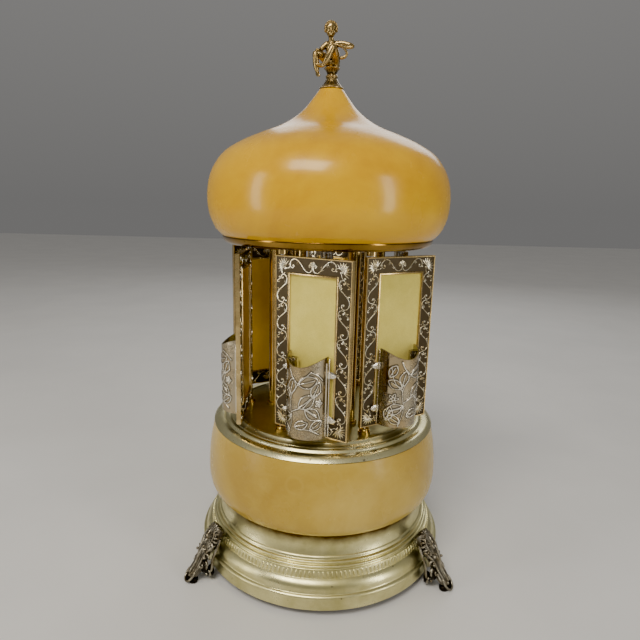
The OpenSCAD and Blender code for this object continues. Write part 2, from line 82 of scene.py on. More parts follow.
def joined(parts):
    # several shapes as one, their faces renumbered
    out = {key: [] for key in parts[0]}
    start = 0
    for part in parts:
        for key in part:
            out[key].append(part[key] + start if key in ("quads", "tris") else part[key])
        start += len(part["points"])
    return {key: np.concatenate(value) for key, value in out.items()}


def copies(part, turns, shifts):
    # the part once for each 3x3 turn and shift; point = turn * point + shift
    points = np.einsum("kij,nj->kni", turns, part["points"]) + shifts[:, None, :]
    count, size = points.shape[:2]
    offset = (np.arange(count) * size)[:, None, None]
    return dict(points=points.reshape(-1, 3),
                quads=(part["quads"][None] + offset).reshape(-1, 4),
                tris=(part["tris"][None] + offset).reshape(-1, 3),
                relief=np.tile(part["relief"], count),
                quadFinish=np.tile(part["quadFinish"], count), triFinish=np.tile(part["triFinish"], count))


def turnZ(degrees):
    # turn matrices about Z, one for each angle
    a = np.radians(np.atleast_1d(degrees).astype(float))
    zero, one = np.zeros_like(a), np.ones_like(a)
    return np.stack([np.cos(a), -np.sin(a), zero, np.sin(a), np.cos(a), zero, zero, zero, one], -1).reshape(-1, 3, 3)


def aroundZ(part, count, first=0.0):
    # the part copied at equal angles about the spindle
    return copies(part, turnZ(first + 360 / count * np.arange(count)), np.zeros((count, 3)))


def moved(part, shift=(0, 0, 0), turn=None):
    turn = np.eye(3) if turn is None else turn
    return dict(part, points=part["points"] @ np.asarray(turn).T + np.asarray(shift, float))


def smoothCurve(knots, steps):
    # Catmull-Rom curve through the knots, steps points between neighbours
    p = np.asarray(knots, float)
    ends = np.vstack([p[:1], p, p[-1:]])
    t = np.arange(steps)[:, None, None] / steps
    a, b, c, d = ends[:-3], ends[1:-2], ends[2:-1], ends[3:]
    curve = 0.5 * (2 * b + (c - a) * t + (2 * a - 5 * b + 4 * c - d) * t ** 2 + (3 * b - a - 3 * c + d) * t ** 3)
    return np.vstack([curve.transpose(1, 0, 2).reshape(-1, p.shape[1]), p[-1:]])


def sideways(line, width):
    # the line moved by width to the left of its direction
    step = np.gradient(line, axis=0)
    step /= np.linalg.norm(step, axis=1, keepdims=True)
    return line + width * np.stack([-step[:, 1], step[:, 0]], -1)


def turned(outline, sides=128, closed=True, relief=0.0, finish=0):
    # an outline of radius and height turned about the spindle; a closed outline makes a ring-shaped wall
    angle = np.linspace(0, 2 * np.pi, sides, endpoint=False)
    r, z = outline[:, 0, None], outline[:, 1, None]
    grid = np.stack([r * np.cos(angle), r * np.sin(angle), z + 0 * angle], -1)
    return surface(grid, wrapRows=closed, capStart=not closed, capEnd=not closed, relief=relief, finish=finish)


def wallOf(line, thickness):
    # closed outline of a sheet that follows the line, thickness to its left
    return np.vstack([line, sideways(line, thickness)[::-1]])


def mouldings(rows, steps=9):
    # a profile of mouldings: each is a straight step that bulges as half a sine wave
    t = np.linspace(0, 1, steps)[:-1, None]
    pieces = []
    for start, end, bulge in rows:
        start, end = np.array(start, float), np.array(end, float)
        normal = np.array([(end - start)[1], -(end - start)[0]])
        normal /= np.linalg.norm(normal)
        pieces.append(start + (end - start) * t + bulge * np.sin(np.pi * t) * normal)
    pieces.append(np.array([rows[-1][1]], float))
    return np.vstack(pieces)


def rod(path, radius, sides=8, across=(0, 0, 1), flat=1.0, relief=1.0, finish=0):
    # an oval section carried along a path, rounded at both ends
    path = np.asarray(path, float)
    radius = np.broadcast_to(radius, len(path)).astype(float)
    ahead = np.gradient(path, axis=0)
    ahead /= np.linalg.norm(ahead, axis=1, keepdims=True) + 1e-12
    left = np.cross(np.broadcast_to(across, path.shape), ahead)
    left /= np.linalg.norm(left, axis=1, keepdims=True) + 1e-12
    up = np.cross(ahead, left)
    # two extra rings at each end round it off
    k = np.array([0.35, 0.8])
    startPoints = path[:1] - ahead[:1] * radius[0] * np.sqrt(1 - k ** 2)[:, None]
    endPoints = path[-1:] + ahead[-1:] * radius[-1] * np.sqrt(1 - k[::-1] ** 2)[:, None]
    centre = np.vstack([startPoints, path, endPoints])
    size = np.concatenate([radius[0] * k, radius, radius[-1] * k[::-1]])
    left = np.vstack([left[:1]] * 2 + [left] + [left[-1:]] * 2)
    up = np.vstack([up[:1]] * 2 + [up] + [up[-1:]] * 2)
    a = np.linspace(0, 2 * np.pi, sides, endpoint=False)
    grid = (centre[:, None] + size[:, None, None] * (np.cos(a)[None, :, None] * left[:, None]
            + flat * np.sin(a)[None, :, None] * up[:, None]))
    return surface(grid, capStart=True, capEnd=True, relief=relief, finish=finish)


def bead(centre, size, rows=6, sides=10, relief=1.0, finish=0):
    # an egg-shaped bead: centre plus size times a point of the unit ball
    tilt = np.linspace(0.12, np.pi - 0.12, rows)[:, None]
    a = np.linspace(0, 2 * np.pi, sides, endpoint=False)[None]
    ball = np.stack([np.sin(tilt) * np.cos(a), np.sin(tilt) * np.sin(a), np.cos(tilt) + 0 * a], -1)
    return surface(np.asarray(centre, float) + np.asarray(size, float) * ball, capStart=True, capEnd=True,
                   relief=relief, finish=finish)


def petal(start, end, width, height, relief=1.0, finish=0):
    # a leaf on the plane y = 0: its width grows and shrinks as a sine along its length, its back is arched
    start, end = np.asarray(start, float), np.asarray(end, float)
    t = np.linspace(0.04, 0.96, 7)[:, None]
    a = np.linspace(0, 2 * np.pi, 8, endpoint=False)[None]
    along = end - start
    cross = np.array([-along[1], along[0]]) / np.linalg.norm(along)
    half = width / 2 * np.sin(np.pi * t ** 0.8)
    x = start[0] + along[0] * t + cross[0] * half * np.cos(a)
    z = start[1] + along[1] * t + cross[1] * half * np.cos(a)
    y = -height * np.sin(np.pi * t ** 0.8) * np.sin(a)
    return surface(np.stack([x, y, z], -1), capStart=True, capEnd=True, relief=relief, finish=finish)


# from shape to object
def cavityOf(mesh):
    # how far each point stands out from the mean of its neighbours, along its normal, in edge lengths
    count = len(mesh.vertices)
    co, normal = np.empty(count * 3), np.empty(count * 3)
    mesh.vertices.foreach_get("co", co)
    mesh.vertices.foreach_get("normal", normal)
    co, normal = co.reshape(-1, 3), normal.reshape(-1, 3)
    edges = np.empty(len(mesh.edges) * 2, int)
    mesh.edges.foreach_get("vertices", edges)
    a, b = edges.reshape(-1, 2).T
    total, number, reach = np.zeros((count, 3)), np.zeros(count), np.zeros(count)
    length = np.linalg.norm(co[a] - co[b], axis=1)
    for one, other in ((a, b), (b, a)):
        np.add.at(total, one, co[other])
        np.add.at(number, one, 1)
        np.add.at(reach, one, length)
    number = np.maximum(number, 1)
    out = ((co - total / number[:, None]) * normal).sum(1) / (reach / number + 1e-9)
    for _ in range(2):
        spread = np.zeros(count)
        np.add.at(spread, a, out[b])
        np.add.at(spread, b, out[a])
        out = 0.5 * out + 0.5 * spread / number
    return out


def floatLayer(mesh, name, values):
    layer = mesh.attributes.new(name, "FLOAT", "POINT")
    layer.data.foreach_set("value", np.asarray(values, np.float32))


def meshOf(name, shape):
    # the shape as a mesh with its faces pointing outwards; relief stays on its points
    mesh = bpy.data.meshes.new(name)
    faces = shape["quads"].tolist() + shape["tris"].tolist()
    mesh.from_pydata((shape["points"] * mm).tolist(), [], faces)
    mesh.polygons.foreach_set("material_index", np.concatenate([shape["quadFinish"], shape["triFinish"]]))
    floatLayer(mesh, "relief", shape["relief"])
    bm = bmesh.new()
    bm.from_mesh(mesh)
    bmesh.ops.recalc_face_normals(bm, faces=bm.faces)
    bm.to_mesh(mesh)
    bm.free()
    return mesh


def makePiece(name, parts, finishes, body, replaced, crease=35, cavity=False):
    # one object from the parts; relief and cavity go to the material as attributes
    mesh = meshOf(name, joined(parts))
    mesh.polygons.foreach_set("use_smooth", np.ones(len(mesh.polygons), bool))
    mesh.set_sharp_from_angle(angle=math.radians(crease))
    if cavity:
        floatLayer(mesh, "cavity", cavityOf(mesh))
    for material in finishes:
        mesh.materials.append(material)
    piece = bpy.data.objects.new(name, mesh)
    bpy.context.collection.objects.link(piece)
    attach(piece, body)
    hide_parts(*replaced)


# materials
class Finish:
    # a node material built line by line; add() makes a node, wire() joins two sockets
    def __init__(self, name, **values):
        self.material = bpy.data.materials.new(name)
        self.material.use_nodes = True
        self.tree = self.material.node_tree
        self.shader = self.tree.nodes["Principled BSDF"]
        for key, value in values.items():
            self.shader.inputs[key].default_value = value
        self.place = self.add("ShaderNodeTexCoord").outputs["Object"]

    def add(self, kind, **values):
        node = self.tree.nodes.new(kind)
        for key, value in values.items():
            setattr(node, key, value)
        return node

    def wire(self, source, target):
        self.tree.links.new(source, target)
        return self

    def noise(self, perMm, detail=4.0, rough=0.55, stretch=(1, 1, 1), distort=0.0):
        # cloud noise with about perMm lumps to the millimetre
        mapping = self.add("ShaderNodeMapping")
        mapping.inputs["Scale"].default_value = [s / mm * perMm for s in stretch]
        node = self.add("ShaderNodeTexNoise")
        node.inputs["Scale"].default_value = 1.0
        node.inputs["Detail"].default_value = detail
        node.inputs["Roughness"].default_value = rough
        node.inputs["Distortion"].default_value = distort
        self.wire(self.place, mapping.inputs["Vector"]).wire(mapping.outputs[0], node.inputs["Vector"])
        return node.outputs["Fac"]

    def ramp(self, source, stops):
        # colour ramp: stops are pairs of place and colour, or of place and number
        node = self.add("ShaderNodeValToRGB")
        while len(node.color_ramp.elements) < len(stops):
            node.color_ramp.elements.new(0.5)
        for element, (at, value) in zip(node.color_ramp.elements, stops):
            element.position = at
            element.color = (value, value, value, 1) if np.isscalar(value) else (*value, 1)
        self.wire(source, node.inputs["Fac"])
        return node.outputs["Color"]

    def layer(self, name):
        node = self.add("ShaderNodeAttribute", attribute_name=name)
        return node.outputs["Fac"]

    def number(self, operation, a, b=0.0, c=0.0):
        node = self.add("ShaderNodeMath", operation=operation)
        for socket, value in zip(node.inputs, (a, b, c)):
            if isinstance(value, (int, float)):
                socket.default_value = value
            else:
                self.wire(value, socket)
        return node.outputs[0]

    def mix(self, amount, a, b, blend="MIX"):
        node = self.add("ShaderNodeMix", data_type="RGBA", blend_type=blend)
        for socket, value in ((node.inputs[0], amount), (node.inputs[6], a), (node.inputs[7], b)):
            if isinstance(value, (int, float)):
                socket.default_value = value
            elif isinstance(value, tuple):
                socket.default_value = (*value, 1)
            else:
                self.wire(value, socket)
        return node.outputs[2]

    def height(self):
        split = self.add("ShaderNodeSeparateXYZ")
        self.wire(self.place, split.inputs[0])
        return split.outputs["Z"]

    def bump(self, source, depthMm, after=None):
        node = self.add("ShaderNodeBump")
        node.inputs["Strength"].default_value = 1.0
        node.inputs["Distance"].default_value = depthMm * mm
        self.wire(source, node.inputs["Height"])
        if after is not None:
            self.wire(after, node.inputs["Normal"])
        self.wire(node.outputs[0], self.shader.inputs["Normal"])
        return node.outputs[0]

    def paint(self, colour, rough=None):
        self.wire(colour, self.shader.inputs["Base Color"])
        if rough is not None:
            self.wire(rough, self.shader.inputs["Roughness"])
        return self.material


def alabasterFinish(name, dark, mid, light, marks):
    # glossy marbled plastic: slow clouds, fine veins, faint round marks and a slightly uneven skin
    f = Finish(name, **{"Coat Weight": 0.2, "Coat Roughness": 0.1, "Specular IOR Level": 0.35})
    cloud = f.noise(0.016, 5.0, 0.6, distort=0.6)
    colour = f.ramp(cloud, [(0.3, dark), (0.5, mid), (0.72, light)])
    vein = f.ramp(f.noise(0.035, 7.0, 0.65, (1, 1, 1.6), 1.6), [(0.46, 0.0), (0.5, 1.0), (0.54, 0.0)])
    colour = f.mix(f.number("MULTIPLY", vein, 0.10), colour, light)
    cells = f.add("ShaderNodeTexVoronoi", feature="F1")
    cells.inputs["Scale"].default_value = marks / mm
    f.wire(f.place, cells.inputs["Vector"])
    ring = f.ramp(cells.outputs["Distance"], [(0.20, 0.0), (0.25, 1.0), (0.28, 1.0), (0.33, 0.0)])
    colour = f.mix(f.number("MULTIPLY", ring, 0.12), colour, light)
    speck = f.ramp(f.noise(0.9, 2.0), [(0.70, 0.0), (0.76, 1.0)])
    colour = f.mix(f.number("MULTIPLY", speck, 0.25), colour, light)
    f.bump(f.noise(0.05, 3.0), 0.06, f.bump(f.noise(1.3, 3.0), 0.006))
    rough = f.ramp(f.noise(0.06, 4.0), [(0.3, 0.20), (0.7, 0.30)])
    return f.paint(colour, rough)


def brassFinish(name, bright, dull, grime, shadeBand=None, rough=(0.26, 0.42), scale=1.0, usesCavity=False):
    # lacquered metal: turning marks, dull clouds, small dark spots, painted shade in dark brown between two heights
    f = Finish(name, Metallic=1.0)
    cloud = f.ramp(f.noise(0.05 * scale, 5.0, 0.6), [(0.35, 0.0), (0.7, 1.0)])
    colour = f.mix(cloud, bright, dull)
    fine = f.ramp(f.noise(0.8 * scale, 3.0, 0.6, (1, 1, 3)), [(0.3, 0.0), (0.8, 1.0)])
    colour = f.mix(f.number("MULTIPLY", fine, 0.35), colour, dull)
    spot = f.ramp(f.noise(0.33 * scale, 3.0, 0.5), [(0.71, 0.0), (0.76, 1.0)])
    colour = f.mix(f.number("MULTIPLY", spot, 0.75), colour, grime)
    roughness = f.mix(cloud, (rough[0],) * 3, (rough[1],) * 3)
    if shadeBand:
        # painted shade in dark brown: it fades in from low to full and out again above the end
        low, full, end, tint = shadeBand
        z = f.number("DIVIDE", f.height(), mm)
        wander = f.number("MULTIPLY_ADD", f.noise(0.07, 5.0, 0.65), 7.0, -3.5)
        z = f.number("ADD", z, wander)
        rise = f.number("DIVIDE", f.number("SUBTRACT", z, low), full - low)
        shadeAmount = f.number("MINIMUM", f.number("MAXIMUM", rise, 0.0), 1.0)
        below = f.number("LESS_THAN", z, end)
        colour = f.mix(f.number("MULTIPLY", shadeAmount, below), colour, tint)
        roughness = f.mix(shadeAmount, roughness, (0.6,) * 3)
    if usesCavity:
        hollow = f.ramp(f.number("MULTIPLY_ADD", f.layer("cavity"), 2.6, 0.5),
                        [(0.25, 1.0), (0.5, 0.35), (0.62, 0.0)])
        colour = f.mix(hollow, colour, grime)
    f.bump(f.noise(0.9 * scale, 4.0, 0.6, (0.25, 0.25, 2.5)), 0.02, f.bump(f.noise(0.12, 3.0), 0.05))
    return f.paint(colour, roughness)


def reliefFinish(name, bright, ground, edgeTint, rough=(0.24, 0.6)):
    # cast relief: the attribute relief is 0 in the blackened ground and 1 on the rubbed tops
    f = Finish(name, Metallic=1.0)
    rubbed = f.number("MULTIPLY_ADD", f.noise(0.5, 4.0), 0.5, -0.25)
    top = f.ramp(f.number("ADD", f.layer("relief"), rubbed), [(0.25, 0.0), (0.75, 1.0)])
    proud = f.ramp(f.number("MULTIPLY_ADD", f.layer("cavity"), 2.2, 0.5), [(0.38, 0.0), (0.62, 1.0)])
    amount = f.number("MULTIPLY", top, f.number("MULTIPLY_ADD", proud, 0.65, 0.35))
    colour = f.mix(f.ramp(f.noise(0.2, 3.0), [(0.4, 0.0), (0.65, 1.0)]), bright, edgeTint)
    colour = f.mix(amount, ground, colour)
    roughness = f.mix(amount, (rough[1],) * 3, (rough[0],) * 3)
    f.bump(f.noise(2.2, 4.0), 0.035)
    return f.paint(colour, roughness)


def engravedFinish(name, bright, plain, outline):
    # sheet silver: bright raised lines with dark edges on a plain ground that is stippled in patches
    f = Finish(name, Metallic=1.0)
    warm = f.ramp(f.noise(0.05, 3.0), [(0.4, 0.0), (0.65, 1.0)])
    ground = f.mix(warm, plain, (plain[0], 0.85 * plain[1], 0.6 * plain[2]))
    line = f.layer("relief")
    edge = f.ramp(line, [(0.03, 0.0), (0.16, 1.0), (0.38, 1.0), (0.6, 0.0)])
    top = f.ramp(line, [(0.5, 0.0), (0.75, 1.0)])
    dots = f.ramp(f.noise(1.5, 2.0), [(0.46, 0.0), (0.6, 1.0)])
    patch = f.number("MULTIPLY", dots, f.ramp(f.noise(0.09, 2.0), [(0.46, 0.0), (0.54, 1.0)]))
    ground = f.mix(f.number("MULTIPLY", patch, 0.3), ground, outline)
    colour = f.mix(f.number("MULTIPLY", edge, 0.85), ground, outline)
    colour = f.mix(top, colour, bright)
    f.bump(patch, 0.08, f.bump(f.noise(0.6, 4.0), 0.015))
    return f.paint(colour, f.mix(edge, (0.17,) * 3, (0.4,) * 3))


def feltFinish(name, light, deep):
    # flocked card: short fibres, a slight nap in patches
    f = Finish(name, **{"Roughness": 0.95, "Sheen Weight": 0.35, "Sheen Roughness": 0.5})
    nap = f.ramp(f.noise(0.12, 5.0, 0.6), [(0.3, 0.0), (0.7, 1.0)])
    fibre = f.noise(3.2, 3.0, 0.7, (1, 1, 0.5))
    colour = f.mix(nap, deep, light)
    colour = f.mix(f.ramp(fibre, [(0.35, 0.0), (0.7, 0.55)]), colour, tuple(0.72 * c for c in deep))
    f.bump(fibre, 0.14, f.bump(f.noise(0.9, 4.0), 0.08))
    return f.paint(colour)


def lacquerFinish(name, light, deep):
    # gold lacquer on sheet: soft clouds, fine vertical brushing and small scuffs
    f = Finish(name, **{"Metallic": 0.55, "Coat Weight": 0.3, "Coat Roughness": 0.2})
    cloud = f.ramp(f.noise(0.04, 5.0), [(0.35, 0.0), (0.68, 1.0)])
    brushed = f.noise(1.6, 3.0, 0.6, (2.5, 2.5, 0.12))
    colour = f.mix(cloud, light, deep)
    colour = f.mix(f.ramp(brushed, [(0.45, 0.0), (0.75, 0.5)]), colour, deep)
    scuff = f.ramp(f.noise(0.45, 6.0, 0.7), [(0.68, 0.0), (0.74, 0.6)])
    colour = f.mix(scuff, colour, tuple(0.5 * c for c in deep))
    f.bump(brushed, 0.02)
    return f.paint(colour, f.ramp(cloud, [(0.0, 0.3), (1.0, 0.42)]))


def woodFinish(name, light, deep, along=(1, 1, 0.12)):
    # raw wood: grain stretched along one axis
    f = Finish(name, Roughness=0.7)
    grain = f.noise(0.5, 6.0, 0.65, along, 0.8)
    colour = f.ramp(grain, [(0.3, deep), (0.55, light), (0.7, deep)])
    f.bump(grain, 0.12)
    return f.paint(colour)


print("materials")
domeFinish = alabasterFinish("domeAmber", (0.56, 0.27, 0.0), (0.68, 0.36, 0.0), (0.80, 0.47, 0.008), 0.02)
# the bowl's amber is darker than the dome's: painted shade, as the light falls on the carousel from above
bowlFinish = alabasterFinish("bowlAmberShaded", (0.40, 0.24, 0.02), (0.50, 0.33, 0.045), (0.64, 0.46, 0.11), 0.055)
# the base carries painted shade in dark brown between 35.5 and 46 mm up, in the hollow under the bowl's overhang
champagne = brassFinish("champagneBrass", (0.84, 0.78, 0.42), (0.52, 0.47, 0.20), (0.08, 0.055, 0.015),
                        shadeBand=(35.5, 41.5, 46.0, (0.10, 0.05, 0.008)), rough=(0.26, 0.42))
ringBrass = brassFinish("ringBrass", (0.88, 0.82, 0.48), (0.60, 0.54, 0.26), (0.12, 0.08, 0.03), rough=(0.24, 0.38))
deckBrass = brassFinish("tarnishedDeck", (0.50, 0.45, 0.20), (0.36, 0.32, 0.13), (0.10, 0.08, 0.03),
                        rough=(0.3, 0.45))
rimBrass = brassFinish("rimBrass", (0.36, 0.21, 0.04), (0.17, 0.09, 0.015), (0.03, 0.015, 0.004), rough=(0.12, 0.22))
pillarBrass = brassFinish("pillarBrass", (0.78, 0.58, 0.24), (0.52, 0.36, 0.12), (0.08, 0.05, 0.02),
                          rough=(0.14, 0.26), scale=2.0)
movementBrass = brassFinish("movementBrass", (0.76, 0.60, 0.30), (0.62, 0.47, 0.22), (0.2, 0.14, 0.06),
                            rough=(0.3, 0.42), scale=2.0)
giltEdge = brassFinish("giltEdge", (0.74, 0.56, 0.26), (0.42, 0.30, 0.12), (0.08, 0.05, 0.02),
                       rough=(0.2, 0.34), scale=2.5)
steelFinish = brassFinish("groundSteel", (0.62, 0.61, 0.58), (0.45, 0.44, 0.42), (0.12, 0.10, 0.08),
                          rough=(0.22, 0.34), scale=2.0)
bronze = brassFinish("antiqueBronze", (0.60, 0.44, 0.19), (0.32, 0.21, 0.07), (0.03, 0.017, 0.006),
                     rough=(0.22, 0.38), scale=3.0, usesCavity=True)
antiqueSilver = reliefFinish("antiqueSilver", (0.70, 0.66, 0.52), (0.075, 0.058, 0.036), (0.46, 0.37, 0.20),
                             (0.2, 0.42))
engravedSilver = engravedFinish("engravedSilver", (0.84, 0.79, 0.66), (0.44, 0.385, 0.275), (0.04, 0.03, 0.017))
pewter = reliefFinish("oldPewter", (0.34, 0.31, 0.24), (0.022, 0.018, 0.013), (0.16, 0.13, 0.08), (0.28, 0.5))
felt = feltFinish("creamFelt", (0.93, 0.80, 0.19), (0.83, 0.69, 0.13))
goldPanel = lacquerFinish("goldPanel", (0.98, 0.60, 0.035), (0.80, 0.44, 0.02))
beech = woodFinish("turnedBeech", (0.58, 0.40, 0.21), (0.40, 0.25, 0.12))
board = woodFinish("pressedBoard", (0.20, 0.13, 0.07), (0.11, 0.07, 0.035), (1, 1, 1))

nodeFinishes = {
    "platform_plate": deckBrass, "top_plate": deckBrass, "mounting_ring": beech, "bottom_cover": board,
}
for material, nodes in (
        (steelFinish, ("base_screws", "tie_rods", "comb", "spindle", "dome_spider", "winding_key", "stop_lever")),
        (pillarBrass, ("pillars", "pillar_nuts", "pivot_bushes", "spindle_bushes", "sun_gear")),
        (movementBrass, ("movement_plate", "cylinder_frame", "governor_frame", "spring_barrel", "pin_cylinder",
                         "governor_fan"))):
    nodeFinishes.update({node: material for node in nodes})
doorCount = 6
for k in range(1, doorCount + 1):
    nodeFinishes.update({"lining_%d" % k: felt, "panel_%d" % k: goldPanel, "pivot_%d" % k: steelFinish})
for node, material in nodeFinishes.items():
    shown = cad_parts[node]
    shown.data.materials.clear()
    shown.data.materials.append(material)


# base
print("base")
base = dict(wall=1.6, tickCount=180, tickHeight=3.5, tickWidth=1.45)
baseZ = boxOf("base_shell")[0][2]
baseProfile = mouldings([
    ((77.3, 0.0), (77.9, 1.0), 0.2), ((77.9, 1.0), (77.9, 6.6), 0.15), ((77.9, 6.6), (77.0, 9.0), 0.7),
    ((77.0, 9.0), (76.2, 9.7), -0.2), ((76.2, 9.7), (72.7, 15.7), 0.95), ((72.7, 15.7), (72.2, 16.4), -0.2),
    ((72.2, 16.4), (71.2, 20.3), 0.1), ((71.2, 20.3), (70.4, 20.8), -0.2), ((70.4, 20.8), (69.6, 22.6), 0.75),
    ((69.6, 22.6), (69.3, 22.9), -0.15), ((69.3, 22.9), (68.5, 24.5), 0.6), ((68.5, 24.5), (67.7, 24.9), -0.2),
    ((67.7, 24.9), (66.6, 26.3), 0.25), ((66.6, 26.3), (66.1, 37.9), -1.15)], 8)
baseProfile[:, 1] += baseZ


def tickRow():
    # rounded upright tongues round the band, half sunk in it, with a small dot under each
    z = baseZ + 18.3
    tongue = bead((0, 0, 0), (0.62, base["tickWidth"] / 2, base["tickHeight"] / 2), 6, 8)
    dot = bead((-0.1, 0, -base["tickHeight"] / 2 - 0.5), (0.45, 0.42, 0.4), 4, 6)
    lean = math.radians(-14)
    turn = np.array([[math.cos(lean), 0, math.sin(lean)], [0, 1, 0], [-math.sin(lean), 0, math.cos(lean)]])
    one = moved(joined([tongue, dot]), (71.75, 0, z), turn)
    return aroundZ(one, base["tickCount"])


makePiece("baseShell", [turned(wallOf(baseProfile, base["wall"]), 192), tickRow()], [champagne], "stand",
          ["base_shell"])

# bowl, platform ring, dome and its rim
print("bowl and dome")
bowlZ = boxOf("belly_ring")[0][2]
belly = dict(widest=73.4, wall=4.0)
bellyKnots = np.array([(-7.6, 0), (-3.6, 2.3), (-1.2, 6.4), (-0.1, 12), (0, 18), (-0.4, 25), (-1.3, 33),
                       (-2.7, 40), (-3.8, 45)])
bellyKnots = bellyKnots + (belly["widest"], bowlZ)
makePiece("bowl", [turned(wallOf(smoothCurve(bellyKnots, 7), belly["wall"]), 160)], [bowlFinish], "stand",
          ["belly_ring"], crease=50)

deckZ = boxOf("platform_ring")[0][2]
deckProfile = mouldings([
    ((68.6, 0.1), (69.9, 0.5), 0.2), ((69.9, 0.5), (63.9, 3.1), 0.95), ((63.9, 3.1), (63.0, 2.9), -0.35),
    ((63.0, 2.9), (60.2, 4.3), 0.6), ((60.2, 4.3), (59.4, 4.3), -0.3), ((59.4, 4.3), (57.0, 5.6), -0.15),
    ((57.0, 5.6), (55.2, 6.1), 0.4), ((55.2, 6.1), (55.1, 4.2), 0.0)], 8)
deckProfile = np.vstack([deckProfile, [(56.6, 4.0), (58, 1.6), (64, 0.1)]]) + (0, deckZ)
makePiece("platformRing", [turned(deckProfile, 160)], [ringBrass], "stand", ["platform_ring"])

rimZ = boxOf("dome_shell")[0][2]
domeKnots = np.array([(63, 0), (66.8, 3.8), (69.6, 9.5), (71.2, 16.5), (71.3, 25), (69.9, 33), (66.8, 40),
                      (61.4, 46.8), (52.6, 52.4), (42, 57.2), (31, 61.6), (22.4, 66.4), (15.4, 72.2),
                      (10.4, 78.4), (7, 83)]) + (0, rimZ)
makePiece("domeShell", [turned(wallOf(smoothCurve(domeKnots, 7), 2.0), 160)], [domeFinish], "dome",
          ["dome_shell"], crease=50)
rimProfile = mouldings([
    ((58.1, -4.6), (60.0, -4.5), 0.0), ((60.0, -4.5), (63.2, -0.9), 0.75), ((63.2, -0.9), (63.0, 0.0), 0.1),
    ((63.0, 0.0), (60.6, 0.0), 0.0), ((60.6, 0.0), (60.0, -1.2), 0.0), ((60.0, -1.2), (58.1, -2.1), 0.0),
    ((58.1, -2.1), (58.1, -4.5), 0.0)], 8) + (0, rimZ)
makePiece("domeRim", [turned(rimProfile, 160)], [rimBrass], "dome", ["dome_rim"])

# doors
print("doors")
door = dict(width=47.0, height=97.5, tail=3.5, stile=9.3, rail=10.0, pivotRadius=48.0, open=90.0, ground=1.02,
            rim=1.38, bead=1.7, wire=0.34)
doorZ = boxOf("door_frame_1")[0][2]
windowMid = door["width"] / 2 - door["tail"]


def inDoor(part, k):
    # from the door's own frame, hinge axis at its origin, to its place on the carousel
    pivotAngle = 240 + 60 * (k - 1)
    at = np.radians(pivotAngle)
    shift = (door["pivotRadius"] * math.cos(at), door["pivotRadius"] * math.sin(at), doorZ)
    return moved(part, shift, turnZ(pivotAngle + door["open"])[0])


def frameBars():
    # the moulded section of the frame carried round the four mitred corners
    across = np.array([0, 0.03, 0.07, 0.08, 0.865, 0.90, 0.96, 1.0])
    outer, inner = door["rim"], door["bead"]
    proud = np.array([outer - 0.2, outer, outer - 0.1, door["ground"], door["ground"], inner - 0.15, inner,
                      inner - 0.45])
    w = np.concatenate([across, across[::-1]])
    y = np.concatenate([-proud, proud[::-1]])
    # corner k of the outer edge and of the window
    x0, x1 = -door["tail"], door["width"] - door["tail"]
    cornersOut = np.array([(x0, 0), (x1, 0), (x1, door["height"]), (x0, door["height"])])
    a, b = door["stile"], door["rail"]
    cornersIn = cornersOut + np.array([(a, b), (-a, b), (-a, -b), (a, -b)])
    xz = cornersOut[:, None] + (cornersIn - cornersOut)[:, None] * w[None, :, None]
    grid = np.stack([xz[..., 0], np.broadcast_to(y, xz.shape[:2]), xz[..., 1]], -1)
    bars = surface(grid, wrapRows=True, relief=0.0, finish=1)
    sunk = np.isin(np.arange(len(w)), (3, 11))
    bars["quadFinish"] = np.where(np.tile(sunk, 4), 0, 1)
    return bars


def scroll(length, height, upper=1.0, lower=1.25, growth=0.35, sameWay=False):
    # two spirals joined by a stem: curvature = 1 / (growth * length left to the eye); an S changes its sign half way
    t = np.linspace(-1, 1, 73)
    s = np.sign(t) * (1 - np.exp(-3.6 * np.abs(t))) / (1 - np.exp(-3.6))
    reach = np.where(s < 0, upper, lower)
    bend = (1.0 if sameWay else np.sign(s)) / (growth * reach * (1 - 0.985 * np.abs(s)))
    bend = bend * np.minimum(1, np.abs(s) / 0.3)
    step = np.diff(s * reach)
    heading = np.concatenate([[0], np.cumsum((bend[1:] + bend[:-1]) / 2 * step)])
    heading = (heading[1:] + heading[:-1]) / 2
    line = np.vstack([[0, 0], np.cumsum(np.stack([np.cos(heading), np.sin(heading)], -1) * step[:, None], 0)])
    # turn the line between the two eyes onto the length
    chord = line[-1] - line[0]
    turn = math.atan2(chord[1], chord[0])
    line = line @ np.array([[math.cos(turn), -math.sin(turn)], [math.sin(turn), math.cos(turn)]])
    line -= (line.max(0) + line.min(0)) / 2
    return line * (length, height) / (line.max(0) - line.min(0))


def wire(line, radius, level):
    # a scroll laid on the face at y = -level, thick in its stem and fine at its eyes
    swell = 0.62 + 0.38 * np.cos(np.linspace(-1, 1, len(line)) * np.pi / 2)
    path = np.stack([line[:, 0], np.full(len(line), -level), line[:, 1]], -1)
    eyes = [bead((path[e, 0], -level, path[e, 2]), (0.5, 0.4, 0.5), 5, 8) for e in (0, -1)]
    return joined([rod(path, radius * swell, 6, across=(0, 1, 0))] + eyes)


def spray(x, z, degrees, size, level, count=3, spread=34):
    # a fan of leaves from one point
    angles = np.radians(degrees + spread * (np.arange(count) - (count - 1) / 2))
    leaves = [petal((x, z), (x + size * math.cos(a), z + size * math.sin(a)), size * 0.2 + 0.15, 0.4) for a in angles]
    return moved(joined(leaves), (0, -level, 0))


